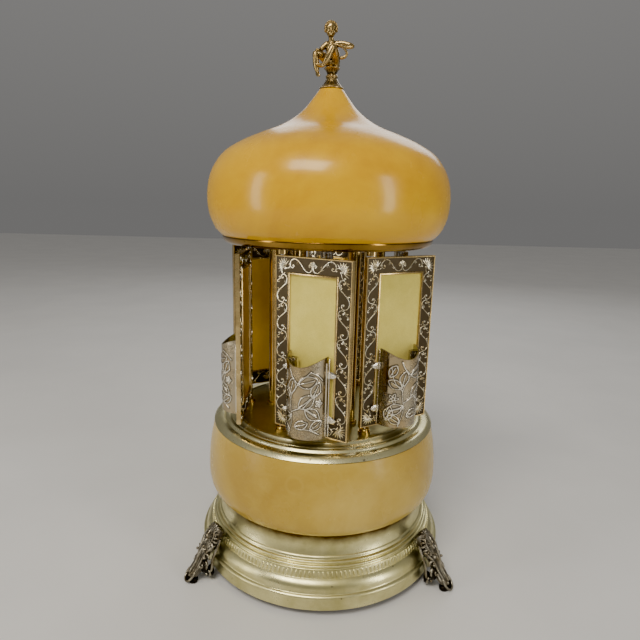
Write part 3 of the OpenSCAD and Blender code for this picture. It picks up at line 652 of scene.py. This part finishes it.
def filigree():
    # the scrollwork of one face: running scrolls up the sides and across the rails, fans at the corners
    level = door["ground"] + 0.04
    radius = door["wire"]
    x0, x1 = -door["tail"], door["width"] - door["tail"]
    strip = door["stile"] * 0.475
    repeats = 5
    span = (door["height"] - 2 * door["rail"]) / repeats
    parts = []
    for side, x in ((1, x0 + strip), (-1, x1 - strip)):
        for i in range(repeats):
            z = door["rail"] + span * (i + 0.5)
            line = scroll(span * 0.97, 6.3)[:, ::-1] * (side, -1) + (x, z)
            parts.append(wire(line, radius, level))
            parts.append(spray(x + side * 1.2, z + span * 0.20, 90 - side * 62, 2.5, level))
            parts.append(spray(x - side * 1.7, z - span * 0.04, 90 + side * 95, 2.2, level))
            parts.append(spray(x + side * 2.2, z - span * 0.40, 270 + side * 40, 1.7, level, 2))
            small = scroll(3.2, 1.9, 1.0, 1.0, 0.4)[:, ::-1] * (-side, 1) + (x - side * 2.2, z + span * 0.30)
            parts.append(wire(small, radius * 0.62, level))
    railSpan = (door["width"] - 2 * door["stile"]) / 2
    rail = door["rail"] * 0.47
    for z, flip in ((rail, 1), (door["height"] - rail, -1)):
        for i, side in ((0, 1), (1, -1)):
            x = windowMid + railSpan * (i - 0.5)
            line = scroll(railSpan * 0.97, 6.4) * (-side, flip) + (x, z)
            parts.append(wire(line, radius, level))
            parts.append(spray(x + side * 1.5, z + 2.0 * flip, 90 + 20 * side, 2.3, level))
            parts.append(spray(x - side * 1.9, z - 2.2 * flip, 270, 2.3, level))
        parts.append(spray(windowMid, z - 2.6 * flip, 90 * flip, 4.0, level, 5, 24))
    for x, z, degrees in ((x0, 0, 225), (x1, 0, 315), (x1, door["height"], 45), (x0, door["height"], 135)):
        inward = np.sign((windowMid - x, door["height"] / 2 - z))
        cx, cz = x + inward[0] * 5.6, z + inward[1] * 5.9
        parts.append(spray(cx, cz, degrees, 5.0, level, 9, 22))
        parts.append(moved(bead((cx, 0, cz), (0.8, 0.5, 0.8), 5, 10), (0, -level, 0)))
        for turn in (-1, 1):
            spin = math.radians(degrees + 180 + 55 * turn)
            hook = scroll(3.6, 2.2, 1.0, 0.8, 0.4, True)
            hook = hook @ np.array([[math.cos(spin), math.sin(spin)], [-math.sin(spin), math.cos(spin)]])
            parts.append(wire(hook + (cx + 2.3 * math.cos(spin), cz + 2.3 * math.sin(spin)), radius * 0.7, level))
    return joined(parts)


lace = filigree()
backLace = dict(lace, points=lace["points"] * (1, -1, 1))
bars = frameBars()
for k in range(1, doorCount + 1):
    makePiece("doorFrame%d" % k, [inDoor(p, k) for p in (bars, lace, backLace)], [antiqueSilver, giltEdge],
              "door_%d" % k, ["door_frame_%d" % k], crease=40, cavity=True)

# holders
print("holders")
holder = dict(radius=12.5, height=45.0, sheet=0.7, x=19.5, y=-1.86, z=1.4, dip=5.0, ridge=0.42, ridgeWidth=0.42)


def motifLines():
    # branches, leaves and a flower, drawn on the unrolled sheet: across from -1 to 1, height from 0 to 1
    t = np.linspace(0, 1, 40)[:, None]

    def branch(*knots):
        return smoothCurve(knots, 14)

    def leaf(x, z, degrees, size, fat=0.3):
        a = math.radians(degrees)
        along, across = np.array([math.cos(a), math.sin(a)]), np.array([-math.sin(a), math.cos(a)])
        edge = np.array([x, z]) + size * t * along + fat * size * np.sin(np.pi * t) ** 0.8 * across
        other = np.array([x, z]) + size * t * along - fat * size * np.sin(np.pi * t) ** 0.8 * across
        vein = np.array([x, z]) + size * 0.8 * t * along
        return [edge, other, vein]

    lines = [branch((-6, 1), (-3, 11), (-4, 22), (1, 31), (8, 38)), branch((-4, 22), (-9, 28), (-11, 36)),
             branch((-3.4, 15), (4, 18), (11, 14)), branch((1, 31), (-3, 35), (-5, 39)),
             branch((-3.6, 12), (-10, 10), (-14, 4)), branch((4, 18), (9, 24), (14, 27)),
             branch((0, 6), (7, 6), (13, 3)), branch((8, 38), (12, 36), (15, 33))]
    for spec in ((1.5, 18, 40, 11), (5, 17.6, -35, 10), (-4.4, 24, 155, 9), (-3.4, 13, 200, 10), (1, 31, 15, 11),
                 (-4.4, 25, 75, 9), (9, 24, 65, 9), (-13, 4, 75, 9), (8, 6, 35, 8), (-12, 30, 60, 8),
                 (-5, 3, 150, 8), (-1, 7, 20, 8)):
        lines += leaf(*spec)
    turn = np.linspace(0, 2 * np.pi, 40)[:, None]
    for centre, size in (((-9.2, 17.5), 3.0), ((12.6, 20.6), 2.2)):
        rose = size * (0.72 + 0.28 * np.cos(5 * turn))
        lines.append(np.array(centre) + rose * np.hstack([np.cos(turn), np.sin(turn)]))
        lines.append(np.array(centre) + 0.3 * size * np.hstack([np.cos(turn), np.sin(turn)]))
    return np.vstack(lines)


def engraving(across, up):
    # height of the raised lines: a bell curve of the distance to the nearest line
    ink = motifLines()
    points = np.stack([across.ravel(), up.ravel()], -1)
    nearest = np.full(len(points), 1e9)
    for start in range(0, len(ink), 200):
        block = ink[start:start + 200]
        gap = ((points[:, None] - block[None]) ** 2).sum(-1).min(1)
        nearest = np.minimum(nearest, gap)
    return np.exp(-nearest / holder["ridgeWidth"] ** 2).reshape(across.shape)


def shell(outer, inner, relief):
    # two grids of the same size joined round their borders into one closed sheet
    rows, cols = outer.shape[:2]
    size = rows * cols
    border = np.concatenate([np.arange(cols), np.arange(1, rows) * cols + cols - 1,
                             (rows - 1) * cols + np.arange(cols - 2, -1, -1), np.arange(rows - 2, 0, -1) * cols])
    following = np.roll(border, -1)
    front = gridFaces(rows, cols, False, False)
    quads = np.vstack([front, front[:, ::-1] + size,
                       np.stack([border, border + size, following + size, following], -1)])
    return dict(points=np.vstack([outer.reshape(-1, 3), inner.reshape(-1, 3)]), quads=quads,
                tris=np.zeros((0, 3), int), relief=np.concatenate([relief.ravel(), np.full(size, 0.6)]),
                quadFinish=np.zeros(len(quads), int), triFinish=np.zeros(0, int))


def holderSheet():
    # half a cylinder whose top edge dips in an arc and whose face carries the raised lines
    u = np.linspace(0, 1, 124)[None]
    v = np.linspace(0, 1, 132)[:, None]
    angle = np.pi * (1 + u)
    x = np.cos(angle)
    top = holder["height"] - holder["dip"] * (1 - x ** 2)
    z = v * top
    across = (u - 0.5) * np.pi * holder["radius"] + 0 * v
    relief = engraving(across, z + 0 * u)
    ground = holder["radius"] - holder["ridge"]
    r = ground + holder["ridge"] * relief
    outer = np.stack([r * x, r * np.sin(angle), z + 0 * u], -1)
    r = ground - holder["sheet"] + 0 * relief
    inner = np.stack([r * x, r * np.sin(angle), z + 0 * u], -1)
    return shell(outer, inner, relief)


def curl(side, size):
    # the sheet's edge rolled inwards: a spiral line in plan, drawn up to just below the top
    s = np.linspace(0, 1, 46)
    angle = np.where(side > 0, 0, np.pi) + side * s * 1.55 * 2 * np.pi
    r = size * (1 - 0.42 * s)
    centre = np.array([side * (holder["radius"] - 0.5 - size), -size * 0.2 - 0.4])
    line = centre + r[:, None] * np.stack([np.cos(angle), -np.sin(angle)], -1)
    line[:, 1] = np.minimum(line[:, 1], -0.35)
    v = np.linspace(0, 1, 8)
    low, high = holder["sheet"], holder["height"] - 3.2
    thick = sideways(line, 0.45)
    thick[:, 1] = np.minimum(thick[:, 1], -0.1)
    grids = [np.stack([np.broadcast_to(edge[None, :, 0], (8, 46)), np.broadcast_to(edge[None, :, 1], (8, 46)),
                       np.broadcast_to((low + (high - low) * v)[:, None], (8, 46))], -1)
             for edge in (line, thick)]
    return shell(grids[0], grids[1], np.full((8, 46), 0.75))


def holderFloor():
    # a half disc that closes the bottom
    a = np.linspace(np.pi, 2 * np.pi, 40)
    r = (holder["radius"] - 0.75) * np.linspace(0.05, 1, 6)[:, None]
    disc = [np.stack([r * np.cos(a), r * np.sin(a), np.full((6, 40), z)], -1) for z in (0.05, 0.8)]
    return shell(disc[0], disc[1], np.full((6, 40), 0.4))


def clips():
    # small hinge-like clips that tie the sheet's edges to the frame
    parts = []
    for side in (-1, 1):
        for level in (0.22, 0.78):
            z = level * holder["height"]
            x = side * (holder["radius"] + 0.35)
            parts.append(rod([(x, -0.75, z - 2 + d) for d in np.linspace(0.5, 3.5, 4)], 0.75, 10, across=(1, 0, 0)))
            tabX = side * (holder["radius"] + np.array([0.2, 1.4, 2.6, 3.4]))
            parts.append(rod([(tx, -0.32, z) for tx in tabX], [1.9, 1.9, 1.7, 1.2], 10, across=(0, 1, 0), flat=0.15))
            parts.append(bead((side * (holder["radius"] + 2.7), -0.6, z), (0.6, 0.3, 0.6), 5, 10))
        edge = [(side * (holder["radius"] + 0.7), -0.42, z) for z in np.linspace(1.2, holder["height"] - 1.6, 9)]
        parts.append(rod(edge, 1.1, 10, across=(1, 0, 0), flat=0.28, relief=0.75))
    return joined(parts)


tray = moved(joined([holderSheet(), curl(-1, 3.1), curl(1, 1.95), holderFloor(), clips()]),
             (holder["x"], holder["y"], holder["z"]))
for k in range(1, doorCount + 1):
    makePiece("holder%d" % k, [inDoor(tray, k)], [engravedSilver], "door_%d" % k,
              ["holder_%d" % k], crease=50, cavity=True)

# feet
print("feet")
foot = dict(turn=34.0)


def leaning(part, at, degrees):
    # a part made with its face towards +X, tipped back by the given angle and set at a place
    a = math.radians(degrees)
    return moved(part, at, np.array([[math.cos(a), 0, -math.sin(a)], [0, 1, 0], [math.sin(a), 0, math.cos(a)]]))


def footLeg():
    # an S-shaped leg: a fluted oval section carried down the slope of the base to the toe
    knots = [(73.6, 0, 29.5), (77.2, 0, 25), (80.8, 0, 20), (83.6, 0, 15), (86.2, 0, 10.5), (89.2, 0, 6.6),
             (91.2, 0, 4)]
    path = smoothCurve(knots, 5)
    s = np.linspace(0, 1, len(path))
    ahead = np.gradient(path, axis=0)
    ahead /= np.linalg.norm(ahead, axis=1, keepdims=True)
    out = np.cross(ahead, (0, 1, 0))
    a = np.linspace(0, 2 * np.pi, 44, endpoint=False)
    flute = 1 + 0.10 * np.cos(11 * a) * np.sin(np.pi * s)[:, None]
    wide = (6.4 - 3.0 * s + 0.8 * np.sin(3 * np.pi * s))[:, None] * flute
    deep = (3.0 - 0.4 * s)[:, None] * flute
    grid = path[:, None] + (wide * np.cos(a))[..., None] * (0, 1, 0) + (deep * np.sin(a))[..., None] * out[:, None]
    return surface(grid, capStart=True, capEnd=True, relief=0.5)


def fanMask():
    # a scallop fan: a domed disc with radiating ribs, a lobed edge and a ring of grains
    rho = np.linspace(0.04, 1, 16)[:, None]
    a = np.linspace(0, 2 * np.pi, 120, endpoint=False)[None]
    rib = np.cos(21 * a) * rho
    reach = 1 + 0.04 * rho * np.cos(21 * a)
    front = 2.3 * np.sqrt(np.maximum(0, 1 - (0.96 * rho) ** 2)) + 0.30 * rib
    grid = np.stack([front, 7.0 * rho * reach * np.cos(a), 8.2 * rho * reach * np.sin(a)], -1)
    back = grid[-1:] * (0, 0.9, 0.9) - (3.0, 0, 0)
    disc = surface(np.concatenate([grid, back]), capStart=True, capEnd=True, relief=np.concatenate(
        [np.clip(0.4 + 0.6 * rib, 0, 1), np.zeros((1, 120))]))
    ring = np.linspace(0, 2 * np.pi, 41)
    oval = np.stack([1.75 + 0 * ring, 4.7 * np.cos(ring), 5.6 * np.sin(ring)], -1)
    grains = copies(bead((0, 0, 0), (0.6, 0.5, 0.5), 4, 6), np.repeat(np.eye(3)[None], 28, 0),
                    np.stack([1.3 + 0 * ring[:28], 5.8 * np.cos(2 * np.pi * np.arange(28) / 28),
                              6.9 * np.sin(2 * np.pi * np.arange(28) / 28)], -1))
    spread = np.radians(90 + 30 * (np.arange(7) - 3))
    leaf = joined([petal((0, -1.6), (3.7 * math.cos(t), 4.4 * math.sin(t)), 0.85, 0.8) for t in spread])
    leaf["points"] = np.stack([2.1 - leaf["points"][:, 1], leaf["points"][:, 0], leaf["points"][:, 2]], -1)
    fan = joined([disc, rod(oval, 0.5, 7, across=(1, 0, 0)), grains, leaf,
                  bead((2.3, 0, -2.2), (1.2, 1.5, 1.5), 6, 12)])
    return leaning(fan, (78.7, 0, 24.4), 33)


def volute(y, z, size, hand, x0, x1, thick=0.85, turns=1.6):
    # a scroll beside the leg: a shrinking circle that also moves outward
    s = np.linspace(0, 1, 34)
    a = np.pi / 2 + hand * s * turns * 2 * np.pi
    r = size * (1 - 0.8 * s)
    path = np.stack([x0 + (x1 - x0) * s, y + r * np.cos(a), z + r * np.sin(a)], -1)
    return joined([rod(path, thick * (1 - 0.45 * s), 8, across=(1, 0, 0)), bead(path[-1], (0.9, 0.8, 0.8), 5, 8)])


def footScrolls():
    parts = []
    for hand in (-1, 1):
        parts.append(volute(hand * 5.2, 16.6, 3.0, hand, 81.4, 85.6))
        parts.append(volute(hand * 4.7, 10.6, 2.6, -hand, 84.2, 87.8, 0.8))
        parts.append(volute(hand * 5.6, 5.9, 3.1, hand, 81.4, 84.6, 0.85))
        parts.append(bead((81.6, hand * 5.4, 6.4), (1.8, 3.0, 3.6), 8, 12, relief=0.2))
        parts.append(bead((85.4, hand * 4.2, 9.6), (2.2, 3.0, 4.0), 8, 12, relief=0.25))
        # long leaf edges that run down the leg
        line = smoothCurve([(80.4, hand * 6.6, 22.4), (84.4, hand * 4.0, 17.4), (86.6, hand * 3.2, 13),
                            (89.6, hand * 3.0, 8.6), (93.0, hand * 2.6, 4.8)], 7)
        parts.append(rod(line, np.linspace(0.9, 0.5, len(line)), 7, across=(1, 0, 0)))
        edge = smoothCurve([(76.2, hand * 7.0, 25), (78.6, hand * 7.4, 20), (80.8, hand * 6.8, 14.5),
                            (81.8, hand * 7.6, 9.5), (82.2, hand * 6.4, 4.4)], 7)
        parts.append(rod(edge, np.linspace(0.7, 0.9, len(edge)), 7, across=(1, 0, 0)))
    spine = smoothCurve([(83.4, 0, 20), (86.2, 0, 16), (88.4, 0, 11.6), (90.8, 0, 8.4), (92.6, 0, 6.2)], 6)
    parts.append(rod(spine, np.linspace(1.2, 0.7, len(spine)), 9, across=(0, 1, 0)))
    parts.append(bead((83.2, 0, 18.6), (2.2, 3.6, 1.9), 8, 14))
    return joined(parts)


def footToe():
    # a spoon-shaped toe with a rolled rim, leaning back on a flat sole
    rho = np.linspace(0.05, 1, 8)[:, None]
    a = np.linspace(0, 2 * np.pi, 36, endpoint=False)[None]
    hollow = 0.9 * rho ** 2 + 0.22 * np.cos(7 * a) * rho * (1 - rho)
    upper = np.stack([hollow, 3.9 * rho * np.cos(a), 4.6 * rho * np.sin(a)], -1)
    under = np.stack([-1.6 + 0 * a, 3.1 * np.cos(a), 3.7 * np.sin(a)], -1)
    spoon = surface(np.concatenate([upper, under]), capStart=True, capEnd=True, relief=0.2)
    ring = np.linspace(0, 2 * np.pi, 41)
    rim = rod(np.stack([0.8 + 0 * ring, 3.8 * np.cos(ring), 4.5 * np.sin(ring)], -1), 0.62, 8, across=(1, 0, 0))
    tip = leaning(joined([spoon, rim, bead((0.4, 0, -0.4), (0.9, 1.1, 1.5), 5, 10)]), (91.9, 0, 4.4), 40)
    # the sole: a flattened bun that ends in a flat face on the table
    h = np.array([0.0, 0.3, 1.2, 2.2, 3.0])[:, None]
    wide = np.array([0.86, 0.97, 1.0, 0.93, 0.7])[:, None]
    bun = np.stack([91.0 + 3.1 * wide * np.cos(a), 4.2 * wide * np.sin(a), h + 0 * a], -1)
    return joined([tip, surface(bun, capStart=True, capEnd=True, relief=0.15)])


oneFoot = joined([footLeg(), fanMask(), footScrolls(), footToe()])
footTurns = turnZ([foot["turn"], 180 - foot["turn"], 180 + foot["turn"], 360 - foot["turn"]])
makePiece("feet", [copies(oneFoot, footTurns, np.zeros((4, 3)))], [pewter], "stand", ["feet"],
          crease=60, cavity=True)

# finial: urn and putto
print("finial")
urnLow, urnHigh = boxOf("finial_urn")
urnZ = urnLow[2]


def urnShape():
    # turned pedestal; its lower bell carries upright lobes: radius grows and shrinks with the angle
    profile = mouldings([
        ((6.2, 0.02), (7.0, 0.5), 0.1), ((7.0, 0.5), (6.7, 1.3), 0.2), ((6.7, 1.3), (6.1, 1.7), -0.15),
        ((6.1, 1.7), (3.4, 5.6), -0.35), ((3.4, 5.6), (3.2, 6.4), -0.1), ((3.2, 6.4), (3.1, 8.0), 0.4),
        ((3.1, 8.0), (2.7, 8.6), -0.1), ((2.7, 8.6), (4.3, 11.2), -0.3), ((4.3, 11.2), (4.4, 11.9), 0.2)], 6)
    profile = np.vstack([[(0.4, 0.02)], profile, [(0.4, 12.0)]])
    a = np.linspace(0, 2 * np.pi, 84, endpoint=False)[None]
    r, z = profile[:, :1], profile[:, 1:]
    lobes = np.exp(-((z - 3.4) / 1.5) ** 2) + np.exp(-((z - 10.2) / 0.9) ** 2)
    r = r * (1 + 0.055 * lobes * np.abs(np.cos(7 * a)) - 0.03 * lobes)
    grid = np.stack([r * np.cos(a), r * np.sin(a), z + urnZ + 0 * a], -1)
    return surface(grid, capStart=True, capEnd=True, relief=0.5)


makePiece("finialUrn", [urnShape()], [bronze], "dome", ["finial_urn"], crease=60, cavity=True)
seatZ = urnHigh[2]
headAt = np.array([-1.1, -1.0, 19.6])


def limbShape(knots, radii, sides=20, flat=1.0):
    # a limb: an oval section along a smooth path, its radius following a smooth curve too
    line = smoothCurve(np.column_stack([knots, radii]), 6)
    return rod(line[:, :3], line[:, 3], sides, across=(0.31, 0.9, 0.28), flat=flat, relief=0.5)


def figureBody():
    parts = [
        limbShape([(0.6, 1.2, 1.4), (0.4, 0.9, 4.2), (-0.1, 0.5, 7.4), (-0.5, 0.1, 10.6), (-0.7, 0, 13)],
                  [3.9, 3.9, 3.4, 3.7, 2.4], 28, 0.82),
        limbShape([(-0.7, -0.1, 12.4), (-0.9, -0.5, 15), (-1.1, -0.8, 17)], [1.9, 1.5, 1.6]),
        # legs: thigh, calf, foot
        limbShape([(-1.8, 0.2, 2.9), (-5.6, -2.6, 5.2), (-9.2, -5.2, 6.2), (-9.3, -5.9, 3.4), (-8.8, -5.9, -0.6),
                   (-8.3, -5.8, -3.6)], [2.7, 2.5, 1.75, 1.7, 1.75, 1.0]),
        limbShape([(-8.3, -5.7, -3.8), (-7.8, -6.8, -5.2), (-7.0, -8.2, -5.9)], [1.15, 1.25, 0.8], 16, 0.7),
        limbShape([(1.8, 0.2, 3), (1.6, -3.8, 6.2), (0.4, -7.4, 9.1), (-0.9, -8.2, 6.8), (-2.8, -8.2, 3),
                   (-4.6, -8.0, -0.4)], [2.7, 2.5, 1.75, 1.75, 1.75, 1.0]),
        limbShape([(-4.6, -8.0, -0.6), (-6.4, -8.6, -0.9), (-8.4, -9.0, -0.5)], [1.1, 1.2, 0.75], 16, 0.7),
        # arms: shoulder, elbow, hand
        limbShape([(2.2, 0, 12.4), (5.6, -0.7, 12.6), (9.2, -1.6, 11.8), (11.2, -2.2, 10.9), (8.8, -3.6, 10.2),
                   (5.6, -5, 9.9)], [1.9, 1.55, 1.3, 1.25, 1.15, 0.8]),
        limbShape([(-3.2, 0.1, 12.2), (-5.2, -0.4, 10.6), (-7, -1.4, 8.7), (-7.8, -3.4, 8.0), (-8.2, -5.2, 7.9)],
                  [1.8, 1.45, 1.2, 1.05, 0.8]),
        bead((5.0, -5.3, 10.0), (1.2, 1.0, 0.95), 8, 12, 0.5), bead((-8.4, -5.7, 7.9), (1.1, 1.1, 0.7), 8, 12, 0.5),
        bead((0.2, 0.8, 2.4), (4.3, 3.8, 2.4), 10, 20, 0.5)]
    return parts


def figureHead():
    # a calm child's head: egg-shaped skull, full cheeks, small nose, lips and chin, closed lids
    x, y, z = headAt
    front = y - 3.15
    parts = [bead((x, y + 0.15, z + 0.7), (3.35, 3.6, 3.6), 14, 24, 0.5),
             bead((x, y - 0.7, z - 1.2), (2.7, 2.7, 2.9), 12, 22, 0.5),
             bead((x, front - 0.02, z - 0.75), (0.42, 0.62, 0.95), 8, 12, 0.5),
             bead((x, front - 0.38, z - 1.25), (0.55, 0.5, 0.42), 8, 12, 0.5),
             bead((x, y - 2.75, z - 3.35), (0.85, 0.7, 0.7), 8, 12, 0.5)]
    for hand in (-1, 1):
        parts += [bead((x + hand * 1.45, y - 2.1, z - 1.7), (1.15, 1.15, 1.1), 8, 12, 0.5),
                  bead((x + hand * 1.3, front + 0.3, z - 0.05), (0.72, 0.5, 0.42), 8, 12, 0.5),
                  bead((x + hand * 1.35, front + 0.28, z + 0.75), (1.05, 0.42, 0.3), 8, 12, 0.5),
                  bead((x + hand * 0.42, front + 0.12, z - 2.3), (0.62, 0.38, 0.24), 8, 12, 0.5),
                  bead((x + hand * 0.3, front + 0.16, z - 2.68), (0.55, 0.36, 0.24), 8, 12, 0.5),
                  bead((x + hand * 3.35, y + 0.1, z - 0.5), (0.5, 0.75, 1.0), 8, 12, 0.5)]
    return parts


def curls():
    # locks spread over the scalp on a spiral of equal steps; each lock is a small coil
    x, y, z = headAt
    count = 120
    i = np.arange(count) + 0.5
    height = 1 - 1.45 * i / count
    turn = np.pi * (1 + 5 ** 0.5) * i
    flat = np.sqrt(np.maximum(0, 1 - height ** 2))
    way = np.stack([flat * np.cos(turn), flat * np.sin(turn), height], -1)
    # leave the face and the neck free
    hairy = (way[:, 1] > -0.45 + 0.2 * way[:, 2]) | (way[:, 2] > 0.62)
    hairy &= way[:, 2] > -0.5
    way = way[hairy]
    centre = np.array([x, y + 0.25, z + 0.75]) + way * (3.35, 3.6, 3.5)
    s = np.linspace(0, 1, 12)
    coil = np.stack([0.72 * (1 - 0.65 * s) * np.cos(s * 8.2), 0.72 * (1 - 0.65 * s) * np.sin(s * 8.2), 0.55 * s], -1)
    lock = rod(coil, 0.36, 5, across=(0, 0, 1), relief=0.8)
    # turn each coil so that its axis points away from the head
    up = way / np.linalg.norm(way, axis=1, keepdims=True)
    one = np.cross(up, (0.3, 0.2, 0.93))
    one /= np.linalg.norm(one, axis=1, keepdims=True)
    turns = np.stack([one, np.cross(up, one), up], -1)
    return copies(lock, turns, centre - up * 0.25)


def blended(name, parts, voxelMm, rounds):
    # overlapping closed parts melted into one skin: remeshed, then each point drawn to its neighbours' mean
    rough = bpy.data.objects.new(name, meshOf(name, joined(parts)))
    bpy.context.collection.objects.link(rough)
    remesh = rough.modifiers.new("melt", "REMESH")
    remesh.mode = "VOXEL"
    remesh.voxel_size = voxelMm * mm
    smooth = rough.modifiers.new("soften", "SMOOTH")
    smooth.factor = 0.5
    smooth.iterations = rounds
    depsgraph = bpy.context.evaluated_depsgraph_get()
    melted = bpy.data.meshes.new_from_object(rough.evaluated_get(depsgraph))
    bpy.data.objects.remove(rough)
    return melted


def asShape(mesh, relief=0.5):
    # a mesh back as a shape in millimetres; its faces are quads
    co = np.empty(len(mesh.vertices) * 3)
    mesh.vertices.foreach_get("co", co)
    corners = np.empty(len(mesh.loops), int)
    mesh.loops.foreach_get("vertex_index", corners)
    quads = corners.reshape(-1, 4)
    return dict(points=co.reshape(-1, 3) / mm, quads=quads, tris=np.zeros((0, 3), int),
                relief=np.full(len(co) // 3, relief), quadFinish=np.zeros(len(quads), int),
                triFinish=np.zeros(0, int))


hornPath = smoothCurve([(0.6, -6.0, 10.9), (3.2, -6.3, 10.2), (6.2, -6.1, 8.9), (8.0, -5.8, 6.6), (7.2, -5.6, 4.6),
                        (5.0, -5.5, 3.9)], 7)
horn = rod(hornPath, np.linspace(0.38, 0.95, len(hornPath)), 12, across=(0.1, 1, 0.1), relief=0.6)
skin = asShape(blended("putto", figureBody() + figureHead(), 0.24, 3))
figure = moved(joined([skin, curls(), horn]), (0, 0, seatZ))
makePiece("cherub", [figure], [bronze], "dome", ["cherub"], crease=80, cavity=True)

# floor, light, camera
print("studio")
studio = dict(floorSize=6.0, floorColour=(0.72, 0.71, 0.69), skyTop=(1.0, 0.98, 0.95), skySide=(0.55, 0.54, 0.53),
              skyStrength=0.5)


def makeFloor():
    # a plain pale floor with faint clouds
    half = studio["floorSize"] / 2
    mesh = bpy.data.meshes.new("floor")
    mesh.from_pydata([(-half, -half, 0), (half, -half, 0), (half, half, 0), (-half, half, 0)], [], [(0, 1, 2, 3)])
    f = Finish("floorPaint", Roughness=0.6)
    colour = f.mix(f.ramp(f.noise(0.01, 3.0), [(0.3, 0.0), (0.7, 1.0)]), studio["floorColour"],
                   tuple(0.94 * c for c in studio["floorColour"]))
    mesh.materials.append(f.paint(colour))
    floor = bpy.data.objects.new("floor", mesh)
    bpy.context.collection.objects.link(floor)


def makeSky():
    # soft light from all round, brighter overhead; the view gets a little more contrast
    world = bpy.data.worlds.new("studioSky")
    bpy.context.scene.world = world
    world.use_nodes = True
    tree = world.node_tree
    background = tree.nodes["Background"]
    place = tree.nodes.new("ShaderNodeTexCoord")
    split = tree.nodes.new("ShaderNodeSeparateXYZ")
    ramp = tree.nodes.new("ShaderNodeValToRGB")
    ramp.color_ramp.elements[0].position = 0.0
    ramp.color_ramp.elements[0].color = (*studio["skySide"], 1)
    ramp.color_ramp.elements[1].position = 0.8
    ramp.color_ramp.elements[1].color = (*studio["skyTop"], 1)
    tree.links.new(place.outputs["Generated"], split.inputs[0])
    tree.links.new(split.outputs["Z"], ramp.inputs["Fac"])
    tree.links.new(ramp.outputs["Color"], background.inputs["Color"])
    background.inputs["Strength"].default_value = studio["skyStrength"]
    bpy.context.scene.view_settings.look = "AgX - Punchy"


def makeLamp(name, at, target, size, watts, tint=(1, 1, 1)):
    # a soft rectangular lamp aimed at a point
    data = bpy.data.lights.new(name, "AREA")
    data.shape = "RECTANGLE"
    data.size, data.size_y = size
    data.energy = watts
    data.color = tint
    lamp = bpy.data.objects.new(name, data)
    bpy.context.collection.objects.link(lamp)
    lamp.location = at
    lamp.rotation_mode = "QUATERNION"
    lamp.rotation_quaternion = (Vector(target) - Vector(at)).to_track_quat("-Z", "Y")


def makeCamera():
    # looks slightly down on the box from the front, a little tilted
    view = dict(distance=0.3214, height=0.2216, down=12.45, aside=-0.6, tilt=1.4, lens=29.25)
    down, aside, tilt = (math.radians(view[key]) for key in ("down", "aside", "tilt"))
    ahead = np.array([math.sin(aside) * math.cos(down), math.cos(aside) * math.cos(down), -math.sin(down)])
    right = np.cross(ahead, (0, 0, 1))
    right /= np.linalg.norm(right)
    up = np.cross(right, ahead)
    tiltedRight = right * math.cos(tilt) + up * math.sin(tilt)
    tiltedUp = up * math.cos(tilt) - right * math.sin(tilt)
    data = bpy.data.cameras.new("camera")
    data.lens = view["lens"]
    data.sensor_width = 36.0
    data.clip_start, data.clip_end = 0.02, 20
    camera = bpy.data.objects.new("camera", data)
    bpy.context.collection.objects.link(camera)
    turn = Matrix(np.stack([tiltedRight, tiltedUp, -ahead], -1).tolist()).to_4x4()
    camera.matrix_world = Matrix.Translation((0, -view["distance"], view["height"])) @ turn
    bpy.context.scene.camera = camera


makeFloor()
makeSky()
makeLamp("keyLight", (-0.30, -0.70, 1.10), (0, 0, 0.17), (0.6, 0.4), 17, (1, 0.95, 0.86))
makeLamp("leftStrip", (-0.85, -0.40, 0.30), (0, 0, 0.15), (0.16, 0.8), 4.5, (1, 0.96, 0.88))
makeLamp("rightStrip", (0.80, -0.60, 0.35), (0, 0, 0.15), (0.18, 0.8), 5.5, (1, 0.97, 0.9))
makeLamp("backLight", (0.2, 0.95, 0.75), (0, 0, 0.18), (0.9, 0.4), 4)
makeCamera()

print("done")
